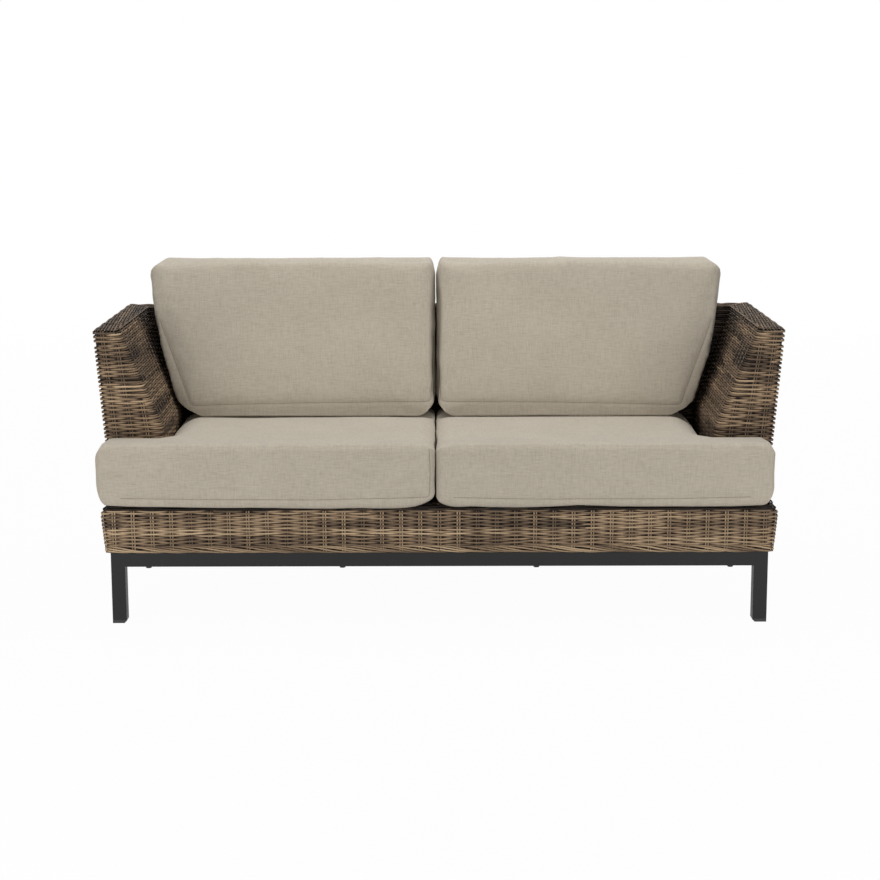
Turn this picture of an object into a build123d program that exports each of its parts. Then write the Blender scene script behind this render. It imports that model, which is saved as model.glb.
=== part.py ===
"""Two-seat outdoor dining sofa: a tube base, a woven body on a hidden tube frame and four cushions.

Millimetres. The origin is on the floor under the middle of the sofa, +Z up. The front faces -Y.
Left and right are as seen from the front.
"""

import os
from math import cos, radians, sqrt, tan

from build123d import *

# Overall sizes
overall_width = 1800.0
overall_depth = 810.0
shell_height = 739.0
base_height = 185.0
deck_height = 311.0

# Woven body: where its faces stand and how they lean, in degrees from upright
outer_lean = 4.6
arm_inner_lean = 23.0
back_inner_lean = 20.5
lean_start_height = 474.0
arm_top_width = 70.0
back_top_width = 95.0
apron_setback = 18.0
arm_setback = 196.0
weave_thickness = 10.0

# Base frame
base_side_setback = 14.4
base_tube = 36.0
base_tube_wall = 2.0
foot_cap_height = 8.0
foot_cap_chamfer = 6.0
foot_spigot_height = 20.0
foot_spigot_gap = 0.2

# Hidden body frame
body_tube = 25.0
body_tube_wall = 1.5

# Place of the outer deck bars and of the inner back posts, from the middle to a side
inner_bar_share = 2 / 3

# Bolts that hold the woven body to the base
bolt_end_inset = 76.0
bolt_count = 4
bolt_radius = 4.0
bolt_hole_gap = 0.3
bolt_head_radius = 6.5
bolt_head_height = 5.0
washer_radius = 8.0
washer_thickness = 1.6
nut_barrel_radius = 5.5
nut_flange_radius = 7.0
nut_flange_thickness = 1.2
nut_length = 17.0
nut_thread_gap = 0.05

# Seat cushions
cushion_lift = 0.3
seat_middle_gap = 5.0
seat_ear_setback = 3.5
seat_arm_gap = 7.0
seat_ear_gap = 2.0
seat_rear_gap = 8.0
seat_edge_height = 145.0
seat_crown = 19.0
seat_front_bulge = 20.0
seat_corner_radius = 34.0
seat_side_draw = 4.0

# Back cushions
back_cushion_height = 410.0
back_cushion_depth = 162.0
back_cushion_slack = 1.0
back_foot_arm_gap = 15.5
back_top_arm_gap = 24.0
back_front_crown = 24.0
back_rear_crown = 5.0
back_top_crown = 14.0
back_upper_radius = 55.0
back_lower_radius = 45.0
back_side_draw = 5.0

# Cushion covers and their zips
cover_thickness = 1.5
core_gap = 0.4
zip_width = 6.0
zip_stand_out = 0.7
zip_slot_gap = 0.1
zip_end_margin = 74.0
back_zip_inset = 42.0
slider_length = 12.0
slider_width = 9.0
slider_thickness = 3.0
slider_gap = 0.15
pull_length = 20.0
pull_width = 6.0
pull_thickness = 1.0

# Share of a cushion's width at each lofted profile, with the share of its fullness there
cushion_station_shares = ((0.0, 0.0), (0.1, 0.72), (0.3, 1.0), (0.7, 1.0), (0.9, 0.72), (1.0, 0.0))
seat_end_drop = 18.0
back_end_drop = 16.0
back_end_thin = 26.0

# Worked-out planes and sizes
cut_overrun = 5.0
half_depth = overall_depth / 2
weave_bottom = base_height
weave_shoulder = shell_height - weave_thickness
outer_slope = tan(radians(outer_lean))
arm_slope = tan(radians(arm_inner_lean))
back_slope = tan(radians(back_inner_lean))
outer_weave = weave_thickness / cos(radians(outer_lean))
arm_weave = weave_thickness / cos(radians(arm_inner_lean))
back_weave = weave_thickness / cos(radians(back_inner_lean))
arm_front = arm_setback - half_depth


def outer_x(z):
    """Half width over the outer side faces at a height."""
    return overall_width / 2 - outer_slope * (shell_height - z)


def rear_y(z):
    """Rear outer face at a height."""
    return half_depth - outer_slope * (shell_height - z)


def front_y(z):
    """Front face of the apron at a height."""
    return apron_setback - half_depth + outer_slope * (deck_height - z)


def arm_inner_x(z):
    """Seat side of an arm at a height: upright up to the seat, then leaning outwards."""
    return overall_width / 2 - arm_top_width - arm_slope * (shell_height - max(z, lean_start_height))


def back_inner_y(z):
    """Seat side of the back at a height: upright up to the seat, then leaning back."""
    return half_depth - back_top_width - back_slope * (shell_height - max(z, lean_start_height))


def write_piece(piece, label):
    """Label a finished piece and write its STEP file."""
    piece.part.label = label
    export_step(piece.part, f"parts/{label}.step")


def crossed_prisms(front_outline, side_outline):
    """The solid whose front view (x, z) and side view (y, z) are the two outlines."""
    with BuildPart() as solid:
        with BuildSketch(Plane.XZ):
            with BuildLine():
                Polyline(*front_outline, close=True)
            make_face()
        extrude(amount=overall_depth, both=True)
        with BuildSketch(Plane.YZ):
            with BuildLine():
                Polyline(*side_outline, close=True)
            make_face()
        extrude(amount=overall_width, both=True, mode=Mode.INTERSECT)
    return solid


def rectangle(low, high, bottom, top):
    """Corner points of an upright rectangle in a front or side view."""
    return [(low, bottom), (high, bottom), (high, top), (low, top)]


def leaning_strip(face, width, bottom, top):
    """Corner points of a strip that follows a leaning face, on the side that the width points to."""
    low, high = face(bottom), face(top)
    return [(low, bottom), (high, top), (high + width, top), (low + width, bottom)]


def mirrored(outline, side):
    """The front-view outline for the right (1) or left (-1) side."""
    return [(side * x, z) for x, z in outline]


os.makedirs("parts", exist_ok=True)
hands = (("left", -1), ("right", 1))

# Woven panels of the arms and sides
arm_bends = (deck_height, lean_start_height, weave_shoulder)
for hand, side in hands:
    outer_strip = leaning_strip(outer_x, -outer_weave, weave_bottom, weave_shoulder)
    outer_side_view = [
        (front_y(weave_bottom), weave_bottom),
        (front_y(deck_height), deck_height),
        (arm_front, deck_height),
        (arm_front, weave_shoulder),
        (rear_y(weave_shoulder), weave_shoulder),
        (rear_y(weave_bottom), weave_bottom),
    ]
    with BuildPart() as side_weave:
        add(crossed_prisms(mirrored(outer_strip, side), outer_side_view).part)
    write_piece(side_weave, f"{hand}_side_weave")

    inner_face = [(arm_inner_x(z), z) for z in arm_bends]
    inner_hidden_face = [(arm_inner_x(z) + arm_weave, z) for z in reversed(arm_bends)]
    inner_side_view = [(arm_front + weave_thickness, z) for z in (deck_height, weave_shoulder)]
    inner_side_view += [(back_inner_y(z), z) for z in reversed(arm_bends)]
    with BuildPart() as arm_inner_weave:
        add(crossed_prisms(mirrored(inner_face + inner_hidden_face, side), inner_side_view).part)
    write_piece(arm_inner_weave, f"{hand}_arm_inner_weave")

    arm_end_outline = inner_face + [(outer_x(z) - outer_weave, z) for z in (weave_shoulder, deck_height)]
    arm_end_side_view = rectangle(arm_front, arm_front + weave_thickness, deck_height, weave_shoulder)
    with BuildPart() as arm_front_weave:
        add(crossed_prisms(mirrored(arm_end_outline, side), arm_end_side_view).part)
    write_piece(arm_front_weave, f"{hand}_arm_front_weave")

    arm_top_outline = [(arm_inner_x(z), z) for z in (weave_shoulder, shell_height)]
    arm_top_outline += [(outer_x(z), z) for z in (shell_height, weave_shoulder)]
    arm_top_side_view = [(arm_front, weave_shoulder), (arm_front, shell_height)]
    arm_top_side_view += [(rear_y(z), z) for z in (shell_height, weave_shoulder)]
    with BuildPart() as arm_top_weave:
        add(crossed_prisms(mirrored(arm_top_outline, side), arm_top_side_view).part)
    write_piece(arm_top_weave, f"{hand}_arm_top_weave")

# Woven panels of the back, the apron and the deck
between_sides = [(side * (outer_x(z) - outer_weave), z) for side, z in (
    (-1, weave_bottom), (-1, weave_shoulder), (1, weave_shoulder), (1, weave_bottom))]
rear_strip = leaning_strip(rear_y, -outer_weave, weave_bottom, weave_shoulder)
with BuildPart() as back_outer_weave:
    add(crossed_prisms(between_sides, rear_strip).part)
write_piece(back_outer_weave, "back_outer_weave")

back_inner_outline = [(-arm_inner_x(z) - arm_weave, z) for z in arm_bends]
back_inner_outline += [(arm_inner_x(z) + arm_weave, z) for z in reversed(arm_bends)]
back_inner_side_view = [(back_inner_y(z), z) for z in arm_bends]
back_inner_side_view += [(back_inner_y(z) + back_weave, z) for z in reversed(arm_bends)]
with BuildPart() as back_inner_weave:
    add(crossed_prisms(back_inner_outline, back_inner_side_view).part)
write_piece(back_inner_weave, "back_inner_weave")

back_top_outline = [(-arm_inner_x(z), z) for z in (weave_shoulder, shell_height)]
back_top_outline += [(arm_inner_x(z), z) for z in (shell_height, weave_shoulder)]
back_top_side_view = [(back_inner_y(z), z) for z in (weave_shoulder, shell_height)]
back_top_side_view += [(rear_y(z), z) for z in (shell_height, weave_shoulder)]
with BuildPart() as back_top_weave:
    add(crossed_prisms(back_top_outline, back_top_side_view).part)
write_piece(back_top_weave, "back_top_weave")

with BuildPart() as apron_weave:
    add(crossed_prisms(between_sides, leaning_strip(front_y, outer_weave, weave_bottom, deck_height)).part)
write_piece(apron_weave, "front_apron_weave")

deck_bottom = deck_height - weave_thickness
deck_front = front_y(deck_bottom) + outer_weave
deck_rear = back_inner_y(deck_height) + back_weave
deck_half_width = arm_inner_x(deck_height) + arm_weave
ear_half_width = outer_x(deck_bottom) - outer_weave
with BuildPart() as seat_deck:
    with BuildSketch(Plane.XY.offset(deck_bottom)):
        with BuildLine():
            Polyline(
                (-ear_half_width, deck_front),
                (ear_half_width, deck_front),
                (ear_half_width, arm_front + weave_thickness),
                (deck_half_width, arm_front + weave_thickness),
                (deck_half_width, deck_rear),
                (-deck_half_width, deck_rear),
                (-deck_half_width, arm_front + weave_thickness),
                (-ear_half_width, arm_front + weave_thickness),
                close=True,
            )
        make_face()
    extrude(amount=weave_thickness)
write_piece(seat_deck, "seat_deck_weave")

# Hidden body frame: square tubes, each a box or leaning prism with its bore
ring_bottom = weave_bottom
ring_top = ring_bottom + body_tube
deck_ring_top = deck_bottom
deck_ring_bottom = deck_ring_top - body_tube
rail_top = weave_shoulder
rail_bottom = rail_top - body_tube


def tube_along_x(length, y_centre, bottom, size, wall, x_centre=0.0):
    """Square tube across the sofa, open at its ends."""
    with BuildPart() as tube:
        with BuildSketch(Plane.YZ.offset(x_centre)):
            with Locations((y_centre, bottom + size / 2)):
                Rectangle(size, size)
                Rectangle(size - 2 * wall, size - 2 * wall, mode=Mode.SUBTRACT)
        extrude(amount=length / 2, both=True)
    return tube


def tube_along_y(front, rear, x_centre, bottom, size, wall):
    """Square tube from front to rear, open at its ends."""
    with BuildPart() as tube:
        with BuildSketch(Plane.XZ.offset(-rear)):
            with Locations((x_centre, bottom + size / 2)):
                Rectangle(size, size)
                Rectangle(size - 2 * wall, size - 2 * wall, mode=Mode.SUBTRACT)
        extrude(amount=rear - front)
    return tube


def post(x_face, y_face, bottom, top):
    """Square tube that stands from bottom to top and follows two faces, given as functions of z."""
    views = []
    for face in (x_face, y_face):
        outline = leaning_strip(face, body_tube, bottom, top)
        bore = [(face(z) + shift, z) for z, shift in (
            (bottom - cut_overrun, body_tube_wall),
            (top + cut_overrun, body_tube_wall),
            (top + cut_overrun, body_tube - body_tube_wall),
            (bottom - cut_overrun, body_tube - body_tube_wall),
        )]
        views.append((outline, bore))
    with BuildPart() as tube:
        add(crossed_prisms(views[0][0], views[1][0]).part)
        add(crossed_prisms(views[0][1], views[1][1]).part, mode=Mode.SUBTRACT)
    return tube


frame_front_y = front_y(ring_bottom) + outer_weave + body_tube / 2
frame_rear_y = rear_y(ring_bottom) - outer_weave - body_tube / 2
base_half_width = outer_x(base_height) - base_side_setback - base_tube / 2
bolt_spacing = 2 * (base_half_width - bolt_end_inset) / (bolt_count - 1)
ring_half_width = outer_x(ring_bottom) - outer_weave
inner_bar_place = inner_bar_share * (ring_half_width - body_tube / 2)
deck_ring_half_width = outer_x(deck_ring_bottom) - outer_weave
deck_ring_front_y = front_y(deck_ring_bottom) + outer_weave + body_tube / 2
deck_ring_rear_y = rear_y(deck_ring_bottom) - outer_weave - body_tube / 2
nut_places = [((place - (bolt_count - 1) / 2) * bolt_spacing, y)
              for y in (frame_front_y, frame_rear_y) for place in range(bolt_count)]

rings = (
    ("lower_frame", ring_bottom, ring_half_width, frame_front_y, frame_rear_y),
    ("deck_frame", deck_ring_bottom, deck_ring_half_width, deck_ring_front_y, deck_ring_rear_y),
)
for ring_name, level, half_width, y_front_tube, y_rear_tube in rings:
    for end_name, y_tube in (("front", y_front_tube), ("rear", y_rear_tube)):
        with BuildPart() as long_tube:
            add(tube_along_x(2 * half_width, y_tube, level, body_tube, body_tube_wall).part)
            if level == ring_bottom:
                with Locations([(x, y, level + body_tube_wall / 2) for x, y in nut_places if y == y_tube]):
                    Cylinder(nut_barrel_radius, 2 * body_tube_wall, mode=Mode.SUBTRACT)
        write_piece(long_tube, f"{ring_name}_{end_name}_tube")
    for hand, side in hands:
        with BuildPart() as side_tube:
            add(tube_along_y(y_front_tube + body_tube / 2, y_rear_tube - body_tube / 2,
                             side * (half_width - body_tube / 2), level, body_tube, body_tube_wall).part)
        write_piece(side_tube, f"{ring_name}_{hand}_tube")

with BuildPart() as deck_cross_bars:
    for place in (-1, 0, 1):
        add(tube_along_y(deck_ring_front_y + body_tube / 2, deck_ring_rear_y - body_tube / 2,
                         place * inner_bar_place, deck_ring_bottom, body_tube, body_tube_wall).part)
write_piece(deck_cross_bars, "deck_cross_bars")


def ring_front_face(z):
    """Front side of the short posts between the two rings."""
    return frame_front_y - body_tube / 2


def ring_rear_face(z):
    """Front side of the rear short posts between the two rings."""
    return frame_rear_y - body_tube / 2


def short_post_face(place):
    """Upright left side of a short post at a place across the sofa."""
    return lambda z: place - body_tube / 2


with BuildPart() as short_posts:
    for place in (-ring_half_width + body_tube / 2, 0, ring_half_width - body_tube / 2):
        for y_face in (ring_front_face, ring_rear_face):
            add(post(short_post_face(place), y_face, ring_top, deck_ring_bottom).part)
write_piece(short_posts, "ring_posts")


def back_post_y(z):
    """Front side of the back posts, which follow the rear face."""
    return rear_y(z) - outer_weave - body_tube


def side_post_x(side):
    """Left side of a post that follows the outer face of one side."""
    def face(z):
        inner = outer_x(z) - outer_weave
        return inner - body_tube if side > 0 else -inner
    return face


def arm_post_y(z):
    """Front side of the arms' front posts."""
    return arm_front + weave_thickness


for hand, side in hands:
    with BuildPart() as arm_post:
        add(post(side_post_x(side), arm_post_y, deck_ring_top, rail_bottom).part)
    write_piece(arm_post, f"{hand}_arm_front_post")
    arm_rail_centre = side * (outer_x(rail_bottom) - outer_weave - body_tube / 2)
    with BuildPart() as arm_rail:
        add(tube_along_y(arm_front + weave_thickness, back_post_y(rail_bottom), arm_rail_centre,
                         rail_bottom, body_tube, body_tube_wall).part)
    write_piece(arm_rail, f"{hand}_arm_rail")

with BuildPart() as back_posts:
    for side in (-1, 1):
        add(post(side_post_x(side), back_post_y, deck_ring_top, rail_bottom).part)
    for place in (-1, 0, 1):
        add(post(short_post_face(place * inner_bar_place), back_post_y, deck_ring_top, rail_bottom).part)
write_piece(back_posts, "back_posts")

with BuildPart() as back_rail:
    add(tube_along_x(2 * (outer_x(rail_bottom) - outer_weave), back_post_y(rail_bottom) + body_tube / 2,
                     rail_bottom, body_tube, body_tube_wall).part)
write_piece(back_rail, "back_rail")

# Base frame: legs, rails and foot caps
base_rail_bottom = base_height - base_tube
leg_places = [(side * base_half_width, y) for y in (frame_front_y, frame_rear_y) for side in (-1, 1)]
leg_names = ("front_left_leg", "front_right_leg", "rear_left_leg", "rear_right_leg")
for leg_name, leg_place in zip(leg_names, leg_places):
    with BuildPart() as leg:
        with BuildSketch(Plane.XY.offset(foot_cap_height)):
            with Locations(leg_place):
                Rectangle(base_tube, base_tube)
                Rectangle(base_tube - 2 * base_tube_wall, base_tube - 2 * base_tube_wall, mode=Mode.SUBTRACT)
        extrude(amount=base_height - foot_cap_height)
    write_piece(leg, leg_name)

with BuildPart() as foot_caps:
    spigot = base_tube - 2 * base_tube_wall - 2 * foot_spigot_gap
    for x, y in leg_places:
        inward = 1 if x < 0 else -1
        with BuildSketch(Plane.XZ.offset(-y)):
            with BuildLine():
                Polyline(
                    (x - inward * base_tube / 2, 0),
                    (x + inward * (base_tube / 2 - foot_cap_chamfer), 0),
                    (x + inward * base_tube / 2, foot_cap_chamfer),
                    (x + inward * base_tube / 2, foot_cap_height),
                    (x - inward * base_tube / 2, foot_cap_height),
                    close=True,
                )
            make_face()
        extrude(amount=base_tube / 2, both=True)
        with BuildSketch(Plane.XY.offset(foot_cap_height)):
            with Locations((x, y)):
                Rectangle(spigot, spigot)
        extrude(amount=foot_spigot_height)
write_piece(foot_caps, "foot_caps")

rail_length = 2 * base_half_width - base_tube
for end_name, y in (("front", frame_front_y), ("rear", frame_rear_y)):
    bolt_holes = [(x, y, base_rail_bottom + base_tube / 2) for x, row_y in nut_places if row_y == y]
    with BuildPart() as base_rail:
        add(tube_along_x(rail_length, y, base_rail_bottom, base_tube, base_tube_wall).part)
        with Locations(bolt_holes):
            Cylinder(bolt_radius + bolt_hole_gap, base_tube + 2 * cut_overrun, mode=Mode.SUBTRACT)
    write_piece(base_rail, f"base_{end_name}_rail")

cross_rails = (
    ("base_left_rail", -base_half_width),
    ("base_centre_rail", 0),
    ("base_right_rail", base_half_width),
)
for rail_name, x in cross_rails:
    with BuildPart() as cross_rail:
        add(tube_along_y(frame_front_y + base_tube / 2, frame_rear_y - base_tube / 2, x,
                         base_rail_bottom, base_tube, base_tube_wall).part)
    write_piece(cross_rail, rail_name)

# Bolts, washers and rivet nuts between the base and the woven body
washer_bottom = base_rail_bottom - washer_thickness
nut_top = ring_bottom + nut_length
with BuildPart() as body_bolts:
    with BuildSketch(Plane.XY.offset(washer_bottom)):
        with Locations(nut_places):
            RegularPolygon(bolt_head_radius, 6, major_radius=False)
    extrude(amount=-bolt_head_height)
    with BuildSketch(Plane.XY.offset(washer_bottom)):
        with Locations(nut_places):
            Circle(bolt_radius)
    extrude(amount=nut_top - washer_bottom)
write_piece(body_bolts, "body_bolts")

with BuildPart() as bolt_washers:
    with BuildSketch(Plane.XY.offset(washer_bottom)):
        with Locations(nut_places):
            Circle(washer_radius)
            Circle(bolt_radius + bolt_hole_gap, mode=Mode.SUBTRACT)
    extrude(amount=washer_thickness)
write_piece(bolt_washers, "bolt_washers")

with BuildPart() as rivet_nuts:
    with BuildSketch(Plane.XY.offset(ring_bottom)):
        with Locations(nut_places):
            Circle(nut_barrel_radius)
    extrude(amount=nut_length)
    with BuildSketch(Plane.XY.offset(ring_bottom + body_tube_wall)):
        with Locations(nut_places):
            Circle(nut_flange_radius)
    extrude(amount=nut_flange_thickness)
    with BuildSketch(Plane.XY.offset(ring_bottom)):
        with Locations(nut_places):
            Circle(bolt_radius + nut_thread_gap)
    extrude(amount=nut_length, mode=Mode.SUBTRACT)
write_piece(rivet_nuts, "rivet_nuts")

# Seat cushions: the right one is made, and the left one is its mirror image
seat_bottom = deck_height + cushion_lift
seat_inner = seat_middle_gap / 2
seat_outer = outer_x(deck_height) - seat_ear_setback
seat_side = arm_inner_x(deck_height) - seat_arm_gap
seat_rear = back_inner_y(deck_height) - seat_rear_gap
seat_front = -half_depth
seat_ear_rear = arm_front - seat_ear_gap
seat_edge = seat_bottom + seat_edge_height
seat_top = seat_edge + seat_crown


def seat_form(inset):
    """Closed form of the right seat cushion, drawn in by the inset all round."""
    with BuildPart() as form:
        for place_share, fullness_share in cushion_station_shares:
            x = seat_inner + place_share * (seat_outer - seat_inner)
            edge = seat_edge - inset - seat_end_drop * (1 - fullness_share)
            crown = seat_crown * (1 + fullness_share) / 2
            front = seat_front + seat_front_bulge + inset
            with BuildSketch(Plane.YZ.offset(x)):
                with BuildLine():
                    Line((seat_rear + cut_overrun, seat_bottom + inset), (front, seat_bottom + inset))
                    SagittaArc((front, seat_bottom + inset), (front, edge), seat_front_bulge)
                    SagittaArc((front, edge), (seat_rear + cut_overrun, edge), crown)
                    Line((seat_rear + cut_overrun, edge), (seat_rear + cut_overrun, seat_bottom + inset))
                make_face()
        loft()
        with BuildSketch(Plane.XY) as plan:
            inner, outer, flank = seat_inner + inset, seat_outer - inset, seat_side - inset
            front, rear, ear_rear = seat_front - cut_overrun, seat_rear - inset, seat_ear_rear - inset
            with BuildLine():
                Line((inner, front), (outer, front))
                SagittaArc((outer, front), (outer, ear_rear), -seat_side_draw)
                Line((outer, ear_rear), (flank, ear_rear))
                SagittaArc((flank, ear_rear), (flank, rear), -seat_side_draw)
                Line((flank, rear), (inner, rear))
                SagittaArc((inner, rear), (inner, front), -seat_side_draw)
            make_face()
            corners = plan.vertices().sort_by_distance((flank, ear_rear, 0))[1:]
            fillet(corners, seat_corner_radius - inset)
        extrude(amount=shell_height, mode=Mode.INTERSECT)
    return form


# Back cushions: the right one is made, and the left one is its mirror image
def back_cushion_rear(z):
    """Rear face of the back cushions, along the leaning back."""
    return back_inner_y(lean_start_height) + back_slope * (z - lean_start_height) - back_cushion_slack


def seat_top_at(y):
    """Height of the seat cushions' crowned top along their middle, at a place from front to rear."""
    half_chord = (seat_rear + cut_overrun - seat_front - seat_front_bulge) / 2
    radius = (half_chord**2 + seat_crown**2) / (2 * seat_crown)
    from_crest = y - (seat_rear + cut_overrun - half_chord)
    return seat_top - radius + sqrt(radius**2 - from_crest**2)


back_foot = back_cushion_rear(lean_start_height) - back_cushion_depth + back_front_crown
back_bottom = seat_top_at(back_foot) + cushion_lift
back_edge = back_bottom + back_cushion_height - back_top_crown
back_bottom_half_width = arm_inner_x(lean_start_height) - back_foot_arm_gap
back_top_half_width = arm_inner_x(shell_height) - back_top_arm_gap


def back_form(inset):
    """Closed form of the right back cushion, drawn in by the inset all round."""
    with BuildPart() as form:
        for place_share, fullness_share in cushion_station_shares:
            x = seat_inner + place_share * (back_top_half_width - seat_inner)
            thin = back_end_thin * (1 - fullness_share)
            low = back_bottom + inset
            high = back_edge - inset - back_end_drop * (1 - fullness_share)
            to_rear = -back_rear_crown - inset
            to_front = back_front_crown - back_cushion_depth + thin + inset
            rear_low = (back_cushion_rear(low) + to_rear, low)
            rear_high = (back_cushion_rear(high) + to_rear, high)
            front_low = (back_cushion_rear(low) + to_front, low)
            front_high = (back_cushion_rear(high) + to_front, high)
            with BuildSketch(Plane.YZ.offset(x)):
                with BuildLine():
                    Line(rear_low, front_low)
                    SagittaArc(front_low, front_high, back_front_crown * (1 + fullness_share) / 2)
                    SagittaArc(front_high, rear_high, back_top_crown)
                    SagittaArc(rear_high, rear_low, back_rear_crown * fullness_share + cushion_lift)
                make_face()
        loft()
        with BuildSketch(Plane.XZ) as front_view:
            top = back_bottom + back_cushion_height - inset
            low = back_bottom + inset
            inner = seat_inner + inset
            outer_low = back_bottom_half_width - inset
            outer_top = back_top_half_width - inset
            with BuildLine():
                Line((inner, low), (outer_low, low))
                SagittaArc((outer_low, low), (outer_top, top), -back_side_draw)
                Line((outer_top, top), (inner, top))
                SagittaArc((inner, top), (inner, low), -back_side_draw)
            make_face()
            fillet(front_view.vertices().group_by(Axis.Y)[-1], back_upper_radius - inset)
            fillet(front_view.vertices().group_by(Axis.Y)[0], back_lower_radius - inset)
        extrude(amount=overall_depth, both=True, mode=Mode.INTERSECT)
    return form


# Zips: a slot in the cover, the closed chain that fills it and a slider that runs along it
zip_length = seat_side - seat_inner - 2 * zip_end_margin
seat_zip_level = seat_bottom + seat_edge_height / 2
seat_zip_start = seat_inner + zip_end_margin
back_zip_start = back_bottom_half_width - zip_end_margin - zip_length
back_zip_y = back_cushion_rear(back_bottom) - back_zip_inset


def zip_outline(low, high, centre, width, upright):
    """Side-view corners of a zip's part: low to high is its depth, on the rear face or on the bottom."""
    if upright:
        return rectangle(low, high, centre - width / 2, centre + width / 2)
    return rectangle(centre - width / 2, centre + width / 2, low, high)


def zip_block(start, width, low, high, centre, upright):
    """Block along the whole of a zip."""
    with BuildPart() as block:
        with BuildSketch(Plane.YZ.offset(start)):
            with BuildLine():
                Polyline(*zip_outline(low, high, centre, width, upright), close=True)
            make_face()
        extrude(amount=zip_length)
    return block


def zip_slider(start, surface, centre, upright):
    """Slider body with its pull tab, on the zip's outer side at the closed end."""
    outward = 1 if upright else -1
    body_face = surface + outward * (zip_stand_out + slider_gap)
    tab_face = body_face + outward * slider_thickness
    low, high = sorted((body_face, tab_face))
    tab_low, tab_high = sorted((tab_face, tab_face + outward * pull_thickness))
    with BuildPart() as slider:
        with BuildSketch(Plane.YZ.offset(start)):
            with BuildLine():
                Polyline(*zip_outline(low, high, centre, slider_width, upright), close=True)
            make_face()
        extrude(amount=slider_length)
        fillet(slider.edges().filter_by(Axis.X), slider_thickness / 4)
        with BuildSketch(Plane.YZ.offset(start + slider_length / 2)):
            with BuildLine():
                Polyline(*zip_outline(tab_low, tab_high, centre, pull_width, upright), close=True)
            make_face()
        extrude(amount=pull_length)
    return slider


cushions = (
    ("seat", seat_form, seat_zip_start, seat_rear, seat_zip_level, True),
    ("back", back_form, back_zip_start, back_bottom, back_zip_y, False),
)
for cushion_name, cushion_form, zip_start, surface, zip_centre, upright in cushions:
    outward = 1 if upright else -1
    wall_low, wall_high = sorted((surface + outward * cut_overrun, surface - outward * cover_thickness))
    slot_width = zip_width + 2 * zip_slot_gap
    chain_low, chain_high = sorted((surface + outward * zip_stand_out, surface - outward * cover_thickness))
    zip_slot = zip_block(zip_start, slot_width, wall_low, wall_high, zip_centre, upright)
    with BuildPart() as cover:
        add(cushion_form(0).part)
        add(cushion_form(cover_thickness).part, mode=Mode.SUBTRACT)
        add(zip_slot.part, mode=Mode.SUBTRACT)
    with BuildPart() as core:
        add(cushion_form(cover_thickness + core_gap).part)
    with BuildPart() as chain:
        add(zip_block(zip_start, zip_width, chain_low, chain_high, zip_centre, upright).part)
    with BuildPart() as slider:
        add(zip_slider(zip_start, surface, zip_centre, upright).part)
    pieces = (("cover", cover), ("core", core), ("zip_chain", chain), ("zip_slider", slider))
    for piece_name, piece in pieces:
        write_piece(piece, f"right_{cushion_name}_{piece_name}")
        with BuildPart() as left_piece:
            mirror(piece.part, about=Plane.YZ)
        write_piece(left_piece, f"left_{cushion_name}_{piece_name}")

print("seat top", round(seat_top, 2), "back bottom", round(back_bottom, 2))
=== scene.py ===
"""Looks of the outdoor dining sofa: strands laid one by one, sewn cushions, a painted base, a studio.

Metres, in the frame's axes: +X right as seen from the front, the front faces -Y, +Z up.
"""

from math import ceil, pi, radians, tan

import bpy
import numpy as np
from mathutils import Matrix, Vector
from mathutils.bvhtree import BVHTree


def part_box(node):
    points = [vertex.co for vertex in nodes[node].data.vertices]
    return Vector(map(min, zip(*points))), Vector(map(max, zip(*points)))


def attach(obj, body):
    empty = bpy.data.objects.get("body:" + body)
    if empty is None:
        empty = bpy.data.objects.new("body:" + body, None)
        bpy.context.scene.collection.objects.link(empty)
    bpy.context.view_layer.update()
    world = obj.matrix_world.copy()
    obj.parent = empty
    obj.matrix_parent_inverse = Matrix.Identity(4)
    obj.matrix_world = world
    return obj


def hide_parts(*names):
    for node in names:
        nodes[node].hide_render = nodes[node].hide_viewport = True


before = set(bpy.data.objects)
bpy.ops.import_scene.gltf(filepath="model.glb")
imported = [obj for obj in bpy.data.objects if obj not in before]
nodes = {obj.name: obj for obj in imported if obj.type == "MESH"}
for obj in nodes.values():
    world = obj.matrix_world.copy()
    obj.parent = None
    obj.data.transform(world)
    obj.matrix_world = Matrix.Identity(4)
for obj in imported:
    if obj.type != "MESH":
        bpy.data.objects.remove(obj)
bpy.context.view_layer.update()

# Places of the woven body, read from the frame
half_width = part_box("right_arm_top_weave")[1].x
shell_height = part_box("right_arm_top_weave")[1].z
rear_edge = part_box("back_top_weave")[1].y
weave_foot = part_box("right_side_weave")[0].z
deck_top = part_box("seat_deck_weave")[1].z
apron_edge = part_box("front_apron_weave")[0].y
arm_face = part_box("right_arm_front_weave")[0].y
arm_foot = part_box("right_arm_inner_weave")[0].x
back_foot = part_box("back_inner_weave")[0].y
outer_slope = tan(radians(4.6))
arm_slope = tan(radians(23.0))
back_slope = tan(radians(20.5))
lean_start = 0.474

# Smallest difference that counts
hair = 1e-9

# Strands of the weave, oval in section: half sizes along the face and through it
strand_half, strand_depth = 0.0024, 0.0015
arm_strand_half, arm_strand_depth = 0.0028, 0.0016
stake_half, stake_depth = 0.0018, 0.0010
stake_spread = 0.0031
stake_darkest, stake_contrast = 0.25, 0.05
row_pitch = 0.00485
arm_row_pitch = 0.0056
swing = strand_depth + stake_depth
weave_inset = swing + strand_depth
arm_swing = arm_strand_depth + stake_depth
arm_inset = arm_swing + arm_strand_depth
seat_side_swing_share = 0.5
corner_bend = 0.005
arm_corner_round = 0.030
corner_swing_share = 1.2
# Painted shade: strands are darkened where they dip behind the stakes
recess_shade = 0.55
apron_top_round = 0.030
apron_highest_share = 0.94
apron_top_gap = 0.004
apron_shadow_height, apron_shadow = 0.0155, 0.75
long_float_rows = 6
# Painted shade: the arms' seat sides are darkened, and more so behind the back cushions
seat_side_shade = 0.30
arm_darkening = 0.07
behind_cushion_shade = 0.25
behind_cushion, behind_fade = 0.06, 0.10
seat_side_fade = 0.02
backing_thickness = 0.001
strand_sides = 6
strand_step = 0.008
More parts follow.
